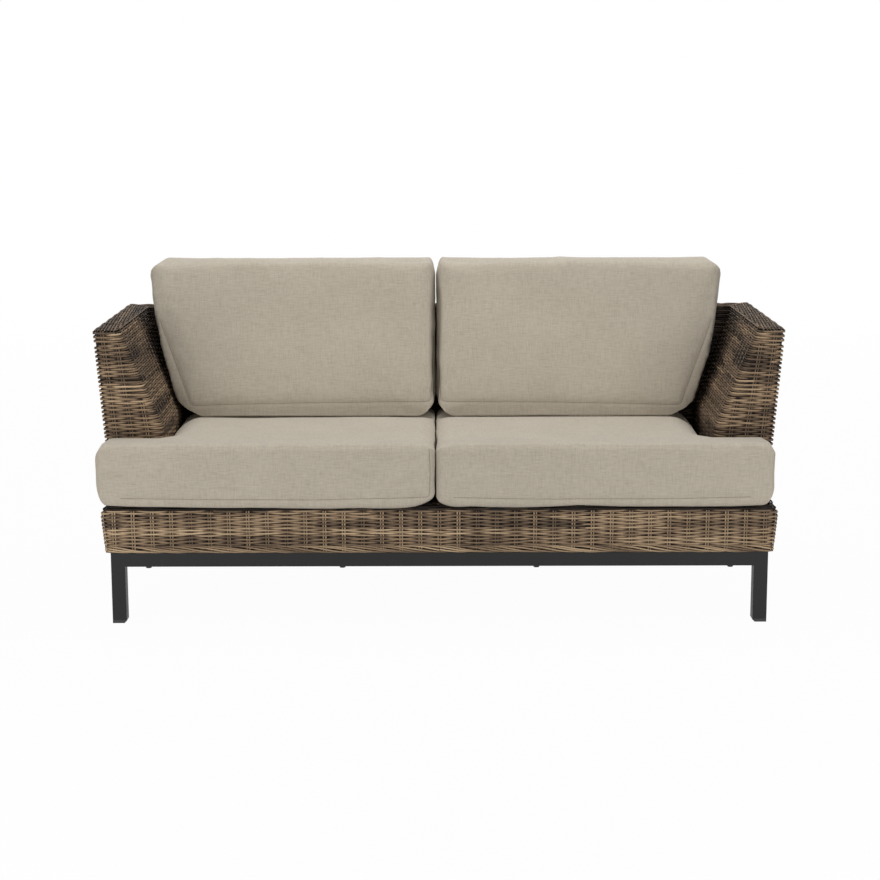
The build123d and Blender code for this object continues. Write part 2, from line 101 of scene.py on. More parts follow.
edge_bend = 0.007

# Stake pairs between the corners of the plan
rear_stakes = 18
side_stakes = 12
ear_stakes = 4
apron_pitch = 0.0488

# Stake pairs on the front of an arm: first place and pitch at the top, and what they gain at the foot
arm_columns = 5
first_column, first_column_gain = 0.020, 0.006
column_pitch, column_pitch_gain = 0.034, 0.008
column_margin_share = 0.35
stake_foot_gap = 0.002
probe = 0.002

# Band of long strands that twist round each other along the bottom edge
wale_height = 0.020
wale_length = 0.29
wale_strands = 7
wale_step = 0.012
wale_half, wale_depth = 0.0021, 0.0013
wale_swing = weave_inset - wale_depth
wale_drift, wale_drift_length, wale_shading = 0.12, 0.4, 0.25


def outer_x(z):
    return half_width - outer_slope * (shell_height - z)


def rear_y(z):
    return rear_edge - outer_slope * (shell_height - z)


def front_y(z):
    return apron_edge + outer_slope * (deck_top - z)


def arm_inner_x(z):
    return arm_foot + arm_slope * max(z - lean_start, 0)


def back_inner_y(z):
    return back_foot + back_slope * max(z - lean_start, 0)


class Value:
    """A socket of a finish, so that shader maths reads as a Python expression."""

    def __init__(self, finish, socket):
        self.finish = finish
        self.socket = socket

    def combined(self, operation, first, second):
        sockets = {0: first, 1: second}
        return self.finish.node("ShaderNodeMath", {"operation": operation}, sockets)

    def __add__(self, other):
        return self.combined("ADD", self, other)

    def __sub__(self, other):
        return self.combined("SUBTRACT", self, other)

    def __rsub__(self, other):
        return self.combined("SUBTRACT", other, self)

    def __mul__(self, other):
        return self.combined("MULTIPLY", self, other)

    __radd__ = __add__
    __rmul__ = __mul__


class Finish:
    """The node tree of one material."""

    def __init__(self, name):
        self.material = bpy.data.materials.new(name)
        self.material.use_nodes = True
        self.tree = self.material.node_tree
        self.tree.nodes.clear()

    def node(self, kind, settings=None, sockets=None, output=0):
        """Add a node with its settings, then its sockets' values or links, and return one output."""
        made = self.tree.nodes.new(kind)
        for name, setting in (settings or {}).items():
            if name == "stops":
                for _ in range(len(setting) - 2):
                    made.color_ramp.elements.new(0.5)
                for element, (place, colour) in zip(made.color_ramp.elements, setting):
                    element.position = place
                    element.color = (*colour, 1)
            else:
                setattr(made, name, setting)
        for name, value in (sockets or {}).items():
            if isinstance(value, Value):
                self.tree.links.new(value.socket, made.inputs[name])
            else:
                made.inputs[name].default_value = value
        return Value(self, made.outputs[output]) if made.outputs else None

    def places(self, stretch):
        """Object coordinates, stretched along each axis."""
        found = self.node("ShaderNodeTexCoord", output="Object")
        return self.node("ShaderNodeMapping", {}, {"Vector": found, "Scale": stretch})

    def noise(self, scale, stretch=(1, 1, 1), detail=2.0):
        sockets = {"Vector": self.places(stretch), "Scale": scale, "Detail": detail}
        return self.node("ShaderNodeTexNoise", {}, sockets)

    def mix(self, share, first, second):
        sockets = {0: share, 6: first, 7: second}
        return self.node("ShaderNodeMix", {"data_type": "RGBA"}, sockets, output=2)

    def bump(self, height, distance, strength=1.0):
        sockets = {"Height": height, "Distance": distance, "Strength": strength}
        return self.node("ShaderNodeBump", {}, sockets)

    def surface(self, **sockets):
        """Close the tree with a Principled shader; underscores in names stand for spaces."""
        named = {name.replace("_", " "): value for name, value in sockets.items()}
        shader = self.node("ShaderNodeBsdfPrincipled", {}, named)
        self.node("ShaderNodeOutputMaterial", {}, {"Surface": shader})
        return self.material


def unit(vectors):
    return vectors / np.linalg.norm(vectors, axis=-1, keepdims=True)


def rounded(corners, bend, longest_share=0.45):
    """Points of a route with its corners rounded, and the index of each corner's middle point."""
    corners = [np.asarray(corner, float) for corner in corners]
    points, middles = [corners[0]], [0]
    bends = np.broadcast_to(bend, len(corners) - 2)
    for before, corner, after, bend in zip(corners, corners[1:], corners[2:], bends):
        into, out = before - corner, after - corner
        into_length, out_length = np.linalg.norm(into), np.linalg.norm(out)
        start = corner + into * min(bend / into_length, longest_share)
        end = corner + out * min(bend / out_length, longest_share)
        for share in (0.0, 0.2, 0.4, 0.5, 0.6, 0.8, 1.0):
            if share == 0.5:
                middles.append(len(points))
            points.append((1 - share) ** 2 * start + 2 * share * (1 - share) * corner + share**2 * end)
    points.append(corners[-1])
    middles.append(len(points) - 1)
    return np.array(points), middles


def settle(piece):
    """Apply a piece's modifiers as they stand."""
    graph = bpy.context.evaluated_depsgraph_get()
    mesh = bpy.data.meshes.new_from_object(piece.evaluated_get(graph))
    piece.modifiers.clear()
    piece.data = mesh


def painted(red, green, blue):
    """A colour as painters mix it on a screen, 0 to 255, turned into the renderer's scale."""
    shares = (level / 255 for level in (red, green, blue))
    return tuple(s / 12.92 if s <= 0.04045 else ((s + 0.055) / 1.055) ** 2.4 for s in shares)


def opaque(red, green, blue):
    return (*painted(red, green, blue), 1.0)


def woven_strand_finish():
    """Round synthetic willow: each strand has its own tone, from grey-brown to straw; the tone also
    carries painted shade.
    """
    finish = Finish("woven_strand")
    tone = finish.node("ShaderNodeAttribute", {"attribute_name": "tone"}, output="Fac")
    speckle = finish.noise(260.0, detail=3.0)
    drift = finish.noise(14.0)
    speckle_swing, drift_swing = 0.30, 0.25
    shade = tone + (speckle - 0.5) * speckle_swing + (drift - 0.5) * drift_swing
    stops = (
        (0.0, painted(38, 31, 26)),
        (0.3, painted(98, 82, 67)),
        (0.62, painted(150, 127, 102)),
        (1.0, painted(202, 177, 144)),
    )
    colour = finish.node("ShaderNodeValToRGB", {"stops": stops}, {"Fac": shade})
    return finish.surface(
        Base_Color=colour,
        Roughness=0.58 + speckle * 0.2,
        Normal=finish.bump(speckle, 0.0004),
        Specular_IOR_Level=0.18,
    )


def cushion_fabric_finish():
    """Plain-woven outdoor fabric: slubs along both threads, over a soft drift of colour."""
    finish = Finish("cushion_fabric")
    along = finish.noise(420.0, (0.10, 1, 1), detail=2.0)
    across = finish.noise(420.0, (1, 0.10, 0.10), detail=2.0)
    grain = finish.noise(900.0, detail=1.0)
    cloud = finish.noise(9.0, detail=3.0)
    slubs = along * 0.4 + across * 0.35 + grain * 0.25
    shade = slubs * 0.88 + cloud * 0.12
    stops = ((0.30, painted(158, 149, 134)), (0.70, painted(193, 184, 168)))
    colour = finish.node("ShaderNodeValToRGB", {"stops": stops}, {"Fac": shade})
    return finish.surface(
        Base_Color=colour,
        Roughness=0.90,
        Normal=finish.bump(slubs, 0.0006, 0.6),
        Specular_IOR_Level=0.2,
        Sheen_Weight=0.15,
        Sheen_Roughness=0.5,
    )


def seam_thread_finish():
    """Sewing thread in a seam, darker than the fabric and twisted; the darkness is partly painted shade
    of the seam's groove.
    """
    finish = Finish("seam_thread")
    twist = finish.noise(800.0, detail=1.0)
    return finish.surface(
        Base_Color=finish.mix(twist, opaque(128, 119, 104), opaque(156, 147, 131)),
        Roughness=0.85,
        Normal=finish.bump(twist, 0.0003),
    )


def weave_backing_finish():
    """Dark sheet behind the weave, painted shade seen only through the slots between strands."""
    finish = Finish("painted_shade_backing")
    fibre = finish.noise(300.0, detail=3.0)
    return finish.surface(
        Base_Color=finish.mix(fibre, opaque(14, 11, 9), opaque(30, 25, 20)),
        Roughness=0.95,
        Specular_IOR_Level=0.05,
        Normal=finish.bump(fibre, 0.0005),
    )


def powder_coat_finish():
    """Satin charcoal powder coat with a fine orange peel."""
    finish = Finish("powder_coat")
    peel = finish.noise(1400.0, detail=2.0)
    haze = finish.noise(18.0, detail=3.0)
    colour = finish.mix(haze, opaque(21, 21, 21), opaque(27, 27, 27))
    return finish.surface(
        Base_Color=colour,
        Roughness=0.42 + haze * 0.12,
        Normal=finish.bump(peel, 0.0002, 0.5),
        Specular_IOR_Level=0.3,
    )


def foot_plastic_finish():
    finish = Finish("foot_plastic")
    scuff = finish.noise(220.0, detail=4.0)
    return finish.surface(
        Base_Color=finish.mix(scuff, opaque(34, 34, 35), opaque(50, 50, 50)),
        Roughness=0.5 + scuff * 0.25,
        Normal=finish.bump(scuff, 0.0003, 0.4),
    )


def metal_finish(name, dark, light, roughness, metallic):
    """A metal with fine drawn lines."""
    finish = Finish(name)
    lines = finish.noise(320.0, (1, 1, 0.15), detail=3.0)
    return finish.surface(
        Base_Color=finish.mix(lines, dark, light),
        Metallic=metallic,
        Roughness=roughness + lines * 0.15,
        Normal=finish.bump(lines, 0.0002, 0.3),
    )


def cushion_foam_finish():
    """Open-cell foam in its thin wrap."""
    finish = Finish("cushion_foam")
    cells = finish.node("ShaderNodeTexVoronoi", {}, {"Vector": finish.places((1, 1, 1)), "Scale": 700.0})
    return finish.surface(
        Base_Color=finish.mix(cells, opaque(214, 208, 184), opaque(236, 231, 212)),
        Roughness=0.95,
        Normal=finish.bump(cells, 0.0008, 0.6),
    )


def zip_nylon_finish():
    """Coil zip: teeth across the chain, every two millimetres, in the fabric's colour."""
    finish = Finish("zip_nylon")
    sockets = {"Vector": finish.places((1, 1, 1)), "Scale": 160.0, "Distortion": 0.0}
    teeth = finish.node("ShaderNodeTexWave", {"bands_direction": "X"}, sockets, output="Fac")
    return finish.surface(
        Base_Color=finish.mix(teeth, opaque(96, 89, 76), opaque(150, 141, 122)),
        Roughness=0.55,
        Normal=finish.bump(teeth, 0.0008),
    )


woven_strand = woven_strand_finish()
painted_shade_backing = weave_backing_finish()
cushion_fabric = cushion_fabric_finish()
seam_thread = seam_thread_finish()
powder_coat = powder_coat_finish()
foot_plastic = foot_plastic_finish()
black_steel = metal_finish("black_steel", opaque(38, 38, 39), opaque(58, 58, 60), 0.40, 0.6)
zinc_steel = metal_finish("zinc_steel", opaque(150, 152, 156), opaque(196, 198, 202), 0.32, 1.0)
body_tube = metal_finish("body_tube", opaque(26, 25, 24), opaque(38, 36, 34), 0.55, 0.1)
cushion_foam = cushion_foam_finish()
zip_nylon = zip_nylon_finish()
zip_metal = metal_finish("zip_metal", opaque(112, 108, 100), opaque(150, 146, 136), 0.35, 0.8)


# Cushions: each is shaped and blown up as a right-hand one, and the left-hand ones are then mirrored
seat_voxel = 0.008
back_voxel = 0.0075
pressure = 4.0
sim_frames = 20
sim_swell = {"seat": 0.007, "back": 0.006}
smoothing_rounds = {"seat": 4, "back": 3}
settling_rounds = {"seat": 6, "back": 6}
unevenness = {"seat": 0.0012, "back": 0.0006}
cushion_shift = -0.009
pair_clearance = 0.0008
core_depth = 0.007
cutting_unevenness = 0.0008
edge_margin = 0.022
seat_low, seat_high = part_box("right_seat_cover")
back_low, back_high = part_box("right_back_cover")
back_foot_width, back_flare, back_flare_ease = 0.696, 0.5215, 0.673
back_sag = 0.015
sag_start, sag_end = 0.140, 0.095
front_overhang = 0.030
front_sag = {"left": (0.012, 0.002), "right": (0.008, 0.004)}
outer_lift = {"left": 0.009, "right": 0.002}
outer_lift_reach = 0.32
flattening = 0.004
arm_clearance = 0.0015
seat_middle = (seat_low.z + seat_high.z) / 2
flank_round, flank_fall = 0.075, 0.045
inner_corner_lift = {"left": (0.088, 0.032), "right": (0.060, 0.018)}
front_corner_length = 0.15
ear_drop, ear_fall, ear_blend = 0.005, 0.012, 0.08
press_front, press_slope = 0.060, 0.35
ear_top = seat_high.z - ear_drop
seat_upper_round, seat_lower_round, seat_plan_round = (0.036, 0.050), (0.036, 0.085), 0.030
seat_inner_round = (0.055, 0.026)
rear_slack = 0.4
back_half_depth, foot_reach, foot_draw = 0.065, 0.13, 0.022
back_outer_round, back_lower_round = (0.055, 0.046), (0.050, 0.050)
back_inner_round, back_inner_lower_round = (0.028, 0.060), (0.052, 0.052)
ear_corner_length, ear_corner_start = 0.05, 0.6
swell_waves, swell_lengths, swell_calm = 7, (0.12, 0.4), 2.5
seam_depth, seam_reach, thread_radius = 0.0018, 0.005, 0.0006
seam_corner_round = 0.012
seam_band = 0.02
thread_step = 0.003
places_at_once = 16
far_off = 2.0


def places_of(piece):
    """Vertex places of a mesh as an array."""
    found = np.empty(len(piece.data.vertices) * 3)
    piece.data.vertices.foreach_get("co", found)
    return found.reshape(-1, 3)


def normals_of(piece):
    found = np.empty(len(piece.data.vertices) * 3)
    piece.data.vertices.foreach_get("normal", found)
    return found.reshape(-1, 3)


def move_to(piece, places):
    piece.data.vertices.foreach_set("co", places.ravel())
    piece.data.update()


def object_of(name, mesh):
    piece = bpy.data.objects.new(name, mesh)
    bpy.context.scene.collection.objects.link(piece)
    return piece


def block(kind):
    """Closed block with sharp edges, as the pieces of a boxed cover are cut before they are stuffed."""
    swell = sim_swell[kind]
    if kind == "seat":
        front, rear = seat_low.y + swell, seat_high.y
        outline = [(seat_low.x, front), (seat_high.x, front), (seat_high.x, arm_face)]
        outline += [(arm_foot, arm_face), (arm_foot, rear), (seat_low.x, rear)]
        ends = [[(x, y, level) for x, y in outline] for level in (seat_low.z, seat_high.z - swell)]
    else:
        x, y, z = places_of(nodes["right_back_cover"]).T
        depths = y - back_slope * (z - lean_start)
        foot, top = back_low.z, back_high.z - swell
        outline = [(back_low.x, foot), (back_side(foot), foot), (back_side(top), top), (back_low.x, top)]
        ends = [
            [(x, depth + back_slope * (z - lean_start), z) for x, z in outline]
            for depth in (depths.max(), depths.min() + swell)
        ]
    count = len(outline)
    faces = [tuple(range(count))[::-1], tuple(range(count, 2 * count))]
    faces += [(n, (n + 1) % count, (n + 1) % count + count, n + count) for n in range(count)]
    mesh = bpy.data.meshes.new("pattern")
    mesh.from_pydata(ends[0] + ends[1], [], faces)
    return mesh


def softened(kind, voxel, rounds):
    """Closed even mesh in the shape of a cushion's block, with its edges softened."""
    piece = object_of("pattern", block(kind))
    grid = piece.modifiers.new("grid", "REMESH")
    grid.mode = "VOXEL"
    grid.voxel_size = voxel
    soft = piece.modifiers.new("soft", "SMOOTH")
    soft.factor = 0.5
    soft.iterations = rounds
    settle(piece)
    return piece


def reach_over(piece, places, axis, sign):
    """How far the piece reaches along an axis over each place."""
    polygons = [tuple(polygon.vertices) for polygon in piece.data.polygons]
    tree = BVHTree.FromPolygons(places_of(piece).tolist(), polygons)
    direction = Vector([sign * (axis == number) for number in range(3)])
    starts = places.copy()
    starts[:, axis] = sign * far_off
    hits = [tree.ray_cast(Vector(start), -direction)[0] for start in starts]
    found = np.array([hit[axis] if hit else np.nan for hit in hits])
    return np.where(np.isnan(found), np.nanmedian(found), found)


def squared(piece, axis, base, target, clamped):
    """Stretch what lies beyond a base, so that the far face comes to lie evenly at the target."""
    places = places_of(piece)
    sign = 1 if np.mean(target) > base else -1
    reach = reach_over(piece, clamped(places), axis, sign)
    share = (places[:, axis] - base) / (reach - base)
    places[:, axis] = np.where(share > 0, base + share * (target - base), places[:, axis])
    move_to(piece, places)


def inside_seat(places):
    """The nearest places well inside the plan and the height of the seat cushion."""
    x, y, z = places.T
    x = np.clip(x, seat_low.x + edge_margin, seat_high.x - edge_margin)
    y = np.clip(y, seat_low.y + edge_margin, seat_high.y - edge_margin)
    past_flank, past_ear = x - (arm_foot - edge_margin), y - (arm_face - edge_margin)
    notch = (past_flank > 0) & (past_ear > 0)
    x = np.where(notch & (past_flank <= past_ear), arm_foot - edge_margin, x)
    y = np.where(notch & (past_flank > past_ear), arm_face - edge_margin, y)
    return np.column_stack([x, y, np.clip(z, seat_low.z + edge_margin, seat_high.z - 1.5 * edge_margin)])


def inside_back(places):
    """The same for the back cushion, stood upright."""
    x, y, z = places.T
    low, high = places.min(axis=0), places.max(axis=0)
    z = np.clip(z, low[2] + edge_margin, high[2] - 1.5 * edge_margin)
    x = np.clip(x, low[0] + edge_margin, back_side(z) - edge_margin)
    return np.column_stack([x, np.clip(y, low[1] + edge_margin, high[1] - edge_margin), z])


def lean(piece, share):
    """Lean a back cushion along the back, or stand it upright with a share of -1."""
    places = places_of(piece)
    places[:, 1] += share * back_slope * (places[:, 2] - lean_start)
    move_to(piece, places)


def back_side(z):
    """Outer side of the back cushions at a height: flared at its foot, nearly upright at the top."""
    rise = z - back_low.z
    return back_foot_width + back_flare * rise - back_flare_ease * rise**2


def seat_top(x, y):
    """Level of a seat cushion's top: the ear falls a little towards the arm behind it."""
    on_ear = np.clip(1 - (arm_foot - x) / ear_blend, 0, 1)
    return ear_top - ear_fall * on_ear * np.clip((y - seat_low.y) / (arm_face - seat_low.y), 0, 1)


def trim(piece, kind):
    """Bring the outline of a blown-up cushion back to its cut, straight between the corners."""
    def along(inside, depth):
        def crest(places):
            held = inside(places)
            held[:, 1] = depth
            return held
        return crest

    if kind == "seat":
        x, y, _ = places_of(piece).T
        squared(piece, 2, seat_low.z, seat_top(x, y), inside_seat)
        crest = along(inside_seat, seat_low.y + 2 * edge_margin)
        squared(piece, 0, seat_high.x / 2, seat_high.x, crest)
        squared(piece, 0, seat_high.x / 2, seat_low.x, crest)
        return
    lean(piece, -1)
    low, high = places_of(piece).min(axis=0), places_of(piece).max(axis=0)
    crest = along(inside_back, (low[1] + high[1]) / 2)
    squared(piece, 2, back_low.z, back_high.z, crest)
    squared(piece, 0, back_foot_width / 2, back_side(places_of(piece)[:, 2]), crest)
    squared(piece, 0, back_foot_width / 2, back_low.x, crest)
    lean(piece, 1)


def inflate(piece, kind):
    """Blow the fabric up, then hold every point within a cap of its start."""
    cap = sim_swell[kind]
    start = places_of(piece)
    cloth = piece.modifiers.new("fabric", "CLOTH")
    fabric = cloth.settings
    fabric.quality = 5
    fabric.mass = 0.3
    fabric.tension_stiffness = 20
    fabric.compression_stiffness = 20
    fabric.shear_stiffness = 8
    fabric.bending_stiffness = 2
    fabric.use_pressure = True
    fabric.uniform_pressure_force = pressure
    fabric.effector_weights.gravity = 0
    for step in range(1, sim_frames + 1):
        bpy.context.scene.frame_set(step)
    settle(piece)
    bpy.context.scene.frame_set(1)
    move = places_of(piece) - start
    reach = np.linalg.norm(move, axis=1)
    move *= np.minimum(1.0, cap / np.maximum(reach, hair))[:, None]
    move_to(piece, start + move)
    calm = piece.modifiers.new("calm", "SMOOTH")
    calm.factor = 0.5
    calm.iterations = settling_rounds[kind]
    settle(piece)


def fitted(values, low, high, top=None):
    """Stretch one coordinate so that the cushion fills its span there."""
    top = values.max() if top is None else top
    return low + (values - values.min()) * (high - low) / (top - values.min())


def back_underside(y):
    """Lowest level of the back cushion: flat at its zip, and sunk into the seat cushion before it."""
    return back_low.z - back_sag * np.clip((sag_start - y) / (sag_start - sag_end), 0, 1)


def seat_span(x, y, side):
    """Lowest and highest level of the seat cushion, over the deck's edge and under the back cushion."""
    middle_sag, end_sag = front_sag[side]
    sag = middle_sag + (end_sag - middle_sag) * np.clip(x / seat_high.x, 0, 1)
    hang = sag * np.clip((seat_low.y + front_overhang - y) / front_overhang, 0, 1) ** 0.5
    pressed = back_underside(y) - pair_clearance
    return seat_low.z - hang, pressed + press_slope * np.maximum(press_front - y, 0)


def seat_fit(x, y, z, side):
    """Seat cushion between its neighbours: flat below, behind and at the middle."""
    x = fitted(x, seat_low.x - flattening, seat_high.x)
    y = fitted(y, seat_low.y, seat_high.y + flattening)
    z = fitted(z, seat_low.z - flattening - front_sag[side][0], ear_top, ear_top)
    return np.maximum(x, pair_clearance), np.minimum(y, seat_high.y), np.clip(z, *seat_span(x, y, side))


def drop(distance, reach, depth):
    """How far an edge falls at a distance from its end: its full depth there, nothing at its reach."""
    return depth * np.maximum(1 - np.maximum(distance, 0) / reach, 0) ** 2


def edge_round(first, second, first_round, second_round):
    """Round the edge between two faces: draw what lies past a quarter ellipse between them onto it.

    A face that bulges past its level loses that bulge towards the edge.
    """
    a = np.maximum(1 - first / first_round, 0)
    b = np.maximum(1 - second / second_round, 0)
    bulge = np.maximum(a - 1, 0) * (1 - np.minimum(b, 1))
    bulge = bulge + np.maximum(b - 1, 0) * (1 - np.minimum(a, 1))
    share = np.minimum((1 + bulge) / np.maximum(np.hypot(a, b), hair), 1)
    held = (a <= 0) | (b <= 0)
    first = np.where(held, first, first_round * (1 - a * share))
    return first, np.where(held, second, second_round * (1 - b * share))


def seat_roundings(x, y, z, side):
    """Soft corners of the seat cushion: low beside the arm, and lifted at the middle of the front."""
    upper = np.clip((z - seat_middle) / (seat_high.z - seat_middle), 0, 1)
    lower = np.clip((seat_middle - z) / (seat_middle - seat_low.z), 0, 1)
    behind_ear = np.clip((y - arm_face) / ear_corner_length + ear_corner_start, 0, 1)
    front = np.clip((front_corner_length - (y - seat_low.y)) / front_corner_length, 0, 1)
    fall = upper * behind_ear * drop(arm_foot - x, flank_round, flank_fall)
    lift = drop(x, *inner_corner_lift[side]) + drop(seat_high.x - x, outer_lift_reach, outer_lift[side])
    z = z - fall + lower * front * lift
    slack = np.clip((arm_face - y) / (arm_face - seat_low.y), rear_slack, 1)
    top = seat_top(x, y)
    upper_round = [reach * slack for reach in seat_upper_round]
    lower_round = [reach * slack for reach in seat_lower_round]
    outer, above = edge_round(seat_high.x - x, top - z, *upper_round)
    outer, below = edge_round(outer, top - above - seat_low.z, *lower_round)
    outer, before = edge_round(outer, y - seat_low.y, seat_plan_round, seat_plan_round)
    z = seat_low.z + below
    inner, beneath = edge_round(x, top - z, *seat_inner_round)
    inner, before = edge_round(inner, before, seat_plan_round, seat_plan_round)
    at_outer = x > seat_high.x / 2
    x = np.where(at_outer, seat_high.x - outer, inner)
    return x, seat_low.y + before, np.where(at_outer, z, top - beneath)


def back_roundings(x, y, z):
    """Corners of the back cushion, as seen from the front."""
    face = back_side(z)
    outer, above = edge_round(face - x, back_high.z - z, *back_outer_round)
    outer, below = edge_round(outer, back_high.z - above - back_low.z, *back_lower_round)
    inner, above = edge_round(x, back_high.z - z, *back_inner_round)
    inner, beneath = edge_round(inner, back_high.z - above - back_low.z, *back_inner_lower_round)
    at_outer = x > back_foot_width / 2
    z = back_low.z + np.where(at_outer, below, beneath)
    behind_rear = back_foot + back_slope * (z - lean_start) - y
    before = np.clip(behind_rear / back_half_depth - 1, 0, 1)
    y = y + before * drop(z - back_low.z, foot_reach, foot_draw)
    return np.where(at_outer, face - outer, inner), y, z


def back_fit(x, y, z, _side):
    """Back cushion on the seat cushion and against the leaning back."""
    x = fitted(x, back_low.x - flattening, back_foot_width, back_foot_width)
    z = fitted(z, back_low.z - flattening - back_sag, back_high.z, back_high.z)
    y = np.minimum(y, back_support(z))
    return np.maximum(x, pair_clearance), y, np.maximum(z, back_underside(y))


def back_support(z):
    """Where the leaning back stops a back cushion at a height."""
    return back_foot - arm_clearance + back_slope * np.maximum(z - lean_start, 0)


def clear_of_arm(x, y, clearance=arm_clearance):
    """Keep the flank of a seat cushion off the arm, and its ear in front of it; x grows outwards."""
    past_flank, past_ear = x - (arm_foot - clearance), y - (arm_face - clearance)
    inside = (past_flank > 0) & (past_ear > 0)
    nearer_flank = past_flank < past_ear
    x = np.where(inside & nearer_flank, arm_foot - clearance, x)
    y = np.where(inside & ~nearer_flank, arm_face - clearance, y)
    return x, y


def uneven(places, normals, reach, seed):
    """Slow unevenness of stuffed fabric."""
    own = np.random.default_rng(seed)
    for _ in range(swell_waves):
        along = unit(own.normal(size=3)) * 2 * pi / own.uniform(*swell_lengths)
        wave = np.sin(places @ along + own.uniform(0, 2 * pi)) * reach / swell_calm
        places = places + normals * wave[:, None]
    return places


def draw_in(piece, kind, hand, inset):
    """Make a cushion's foam smaller than its cover by an inset on all sides."""
    if kind == "back":
        lean(piece, -1)
    places = places_of(piece)
    low, high = places.min(axis=0), places.max(axis=0)
    middle = (low + high) / 2
    x, y, z = (middle + (places - middle) * (1 - 2 * inset / (high - low))).T
    if kind == "seat":
        x, y = clear_of_arm(x * hand, y, arm_clearance + inset)
        x = x * hand
    move_to(piece, np.column_stack([x, y, z]))
    if kind == "back":
        lean(piece, 1)


def seam_routes(kind, side):
    """Seams of the front panel, as places across and up in the front view of a right-hand cushion."""
    if kind == "back":
        inner = [(0.006, 0.67), (0.010, 0.56), (0.014, 0.503)]
        return [[*inner, (0.35, 0.500), (0.674, 0.493), (0.687, 0.530), (0.724, 0.623), (0.764, 0.72)]]
    upper = [(0.05, 0.4640), (0.30, 0.4655), (0.62, 0.4640), (0.82, 0.4560)]
    lower = [(0.30, 0.3290), (0.60, 0.3300), (0.80, 0.3340)]
    if side == "right":
        return [upper, [(0.045, 0.3340), *lower]]
    return [upper, [(0.016, 0.460), (0.014, 0.40), (0.016, 0.335), *lower]]


def sew(piece, route, name):
    """Draw the fabric in along a seam, and lay its thread where the piece has a name for it."""
    hand = 1 if places_of(piece)[:, 0].mean() > 0 else -1
    curve, _ = rounded([(x * hand + cushion_shift, z) for x, z in route], seam_corner_round)
    steps = np.concatenate([[0], np.cumsum(np.linalg.norm(np.diff(curve, axis=0), axis=1))])
    even = np.arange(0, steps[-1], thread_step)
    line = np.column_stack([np.interp(even, steps, curve[:, axis]) for axis in (0, 1)])
    polygons = [tuple(polygon.vertices) for polygon in piece.data.polygons]
    places, normals = places_of(piece), normals_of(piece)
    tree = BVHTree.FromPolygons(places.tolist(), polygons)
    hits = [tree.ray_cast(Vector((x, -far_off, z)), Vector((0, 1, 0)))[0] for x, z in line]
    line = np.array([hit for hit in hits if hit])
    near = np.flatnonzero(places[:, 1] < line[:, 1].max() + seam_band)
    gaps = np.full(len(near), far_off)
    for first in range(0, len(line), places_at_once):
        some = line[None, first:first + places_at_once, :]
        apart = np.linalg.norm(places[near][:, None, :] - some, axis=2)
        gaps = np.minimum(gaps, apart.min(axis=1))
    places[near] -= normals[near] * (seam_depth * np.exp(-((gaps / seam_reach) ** 2)))[:, None]
    move_to(piece, places)
    if name:
        sunk = line + (0, seam_depth - thread_radius, 0)
        seams.setdefault(name, []).append(sunk)


seams = {}


def cushion(pattern, kind, side, seed):
    """One cushion's fabric and its foam, from the blown-up pattern of a right-hand one."""
    hand = 1 if side == "right" else -1
    for part, inset, levels in (("cover", 0.0, 1), ("core", core_depth, 0)):
        piece = object_of(f"{side}_{kind}_cushion_{part}", pattern.data.copy())
        refine = piece.modifiers.new("refine", "SUBSURF")
        refine.levels = refine.render_levels = levels
        settle(piece)
        if hand < 0:
            piece.data.flip_normals()
        x, y, z = (seat_fit if kind == "seat" else back_fit)(*places_of(piece).T, side)
        move_to(piece, np.column_stack([x * hand, y, z]))
        places = uneven(places_of(piece), normals_of(piece), unevenness[kind], seed)
        x, y, z = places[:, 0] * hand, places[:, 1], places[:, 2]
        if kind == "seat":
            x, y, z = seat_roundings(x, y, z, side)
            z = np.clip(z, *seat_span(x, y, side))
        else:
            x, y, z = back_roundings(x, y, z)
            z = np.maximum(z, back_underside(y))
            y = np.minimum(y, back_support(z))
        x = np.maximum(x, pair_clearance) + hand * cushion_shift
        if kind == "seat":
            x, y = clear_of_arm(x, np.minimum(y, seat_high.y))
        move_to(piece, np.column_stack([x * hand, y, z]))
        for number, route in enumerate(seam_routes(kind, side)):
            only_drawn_in = part == "core" or (kind == "seat" and number == 0)
            sew(piece, route, "" if only_drawn_in else f"{side}_{kind}")
        if inset:
            draw_in(piece, kind, hand, inset)
        piece.data.shade_smooth()
        piece.data.materials.append(cushion_fabric if part == "cover" else cushion_foam)
        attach(piece, f"{side}_{kind}_cushion")
        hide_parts(f"{side}_{kind}_{part}")


for kind, voxel in (("seat", seat_voxel), ("back", back_voxel)):
    for side, seed in (("left", 11), ("right", 12)):
        pattern = softened(kind, voxel, smoothing_rounds[kind])
        move_to(pattern, uneven(places_of(pattern), normals_of(pattern), cutting_unevenness, seed))
        inflate(pattern, kind)
        trim(pattern, kind)
        cushion(pattern, kind, side, seed)
        bpy.data.objects.remove(pattern)


class Route:
    """Half of a row's plan, from the middle of the sofa, with the weave's outer side on its left."""

    def __init__(self, corners):
        self.points, middles = rounded(corners, bends_of(corners))
        steps = np.linalg.norm(np.diff(self.points, axis=0), axis=1)
        self.distance = np.concatenate(([0.0], np.cumsum(steps)))
        self.corner = self.distance[middles]
        self.length = self.distance[-1]

    def at(self, distance):
        found = [np.interp(distance, self.distance, self.points[:, axis]) for axis in (0, 1)]
        return np.stack(found, axis=1)

    def spread(self, side, count):
        """Evenly spread places along one side, from its first corner up to the next one."""
        return np.linspace(self.corner[side], self.corner[side + 1], count, endpoint=False)


def outward(plan):
    """Unit normals on the left of a walked plan."""
    along = unit(np.gradient(plan, axis=0))
    return np.stack([-along[:, 1], along[:, 0]], axis=1)


def samples(knots, step=strand_step, fewest=5):
    """Places along a strand, close enough for its swing between neighbouring knots."""
    spans = zip(knots, knots[1:])
    found = [np.linspace(a, b, max(fewest, ceil((b - a) / step)), endpoint=False) for a, b in spans]
    return np.concatenate([*found, [knots[-1]]])


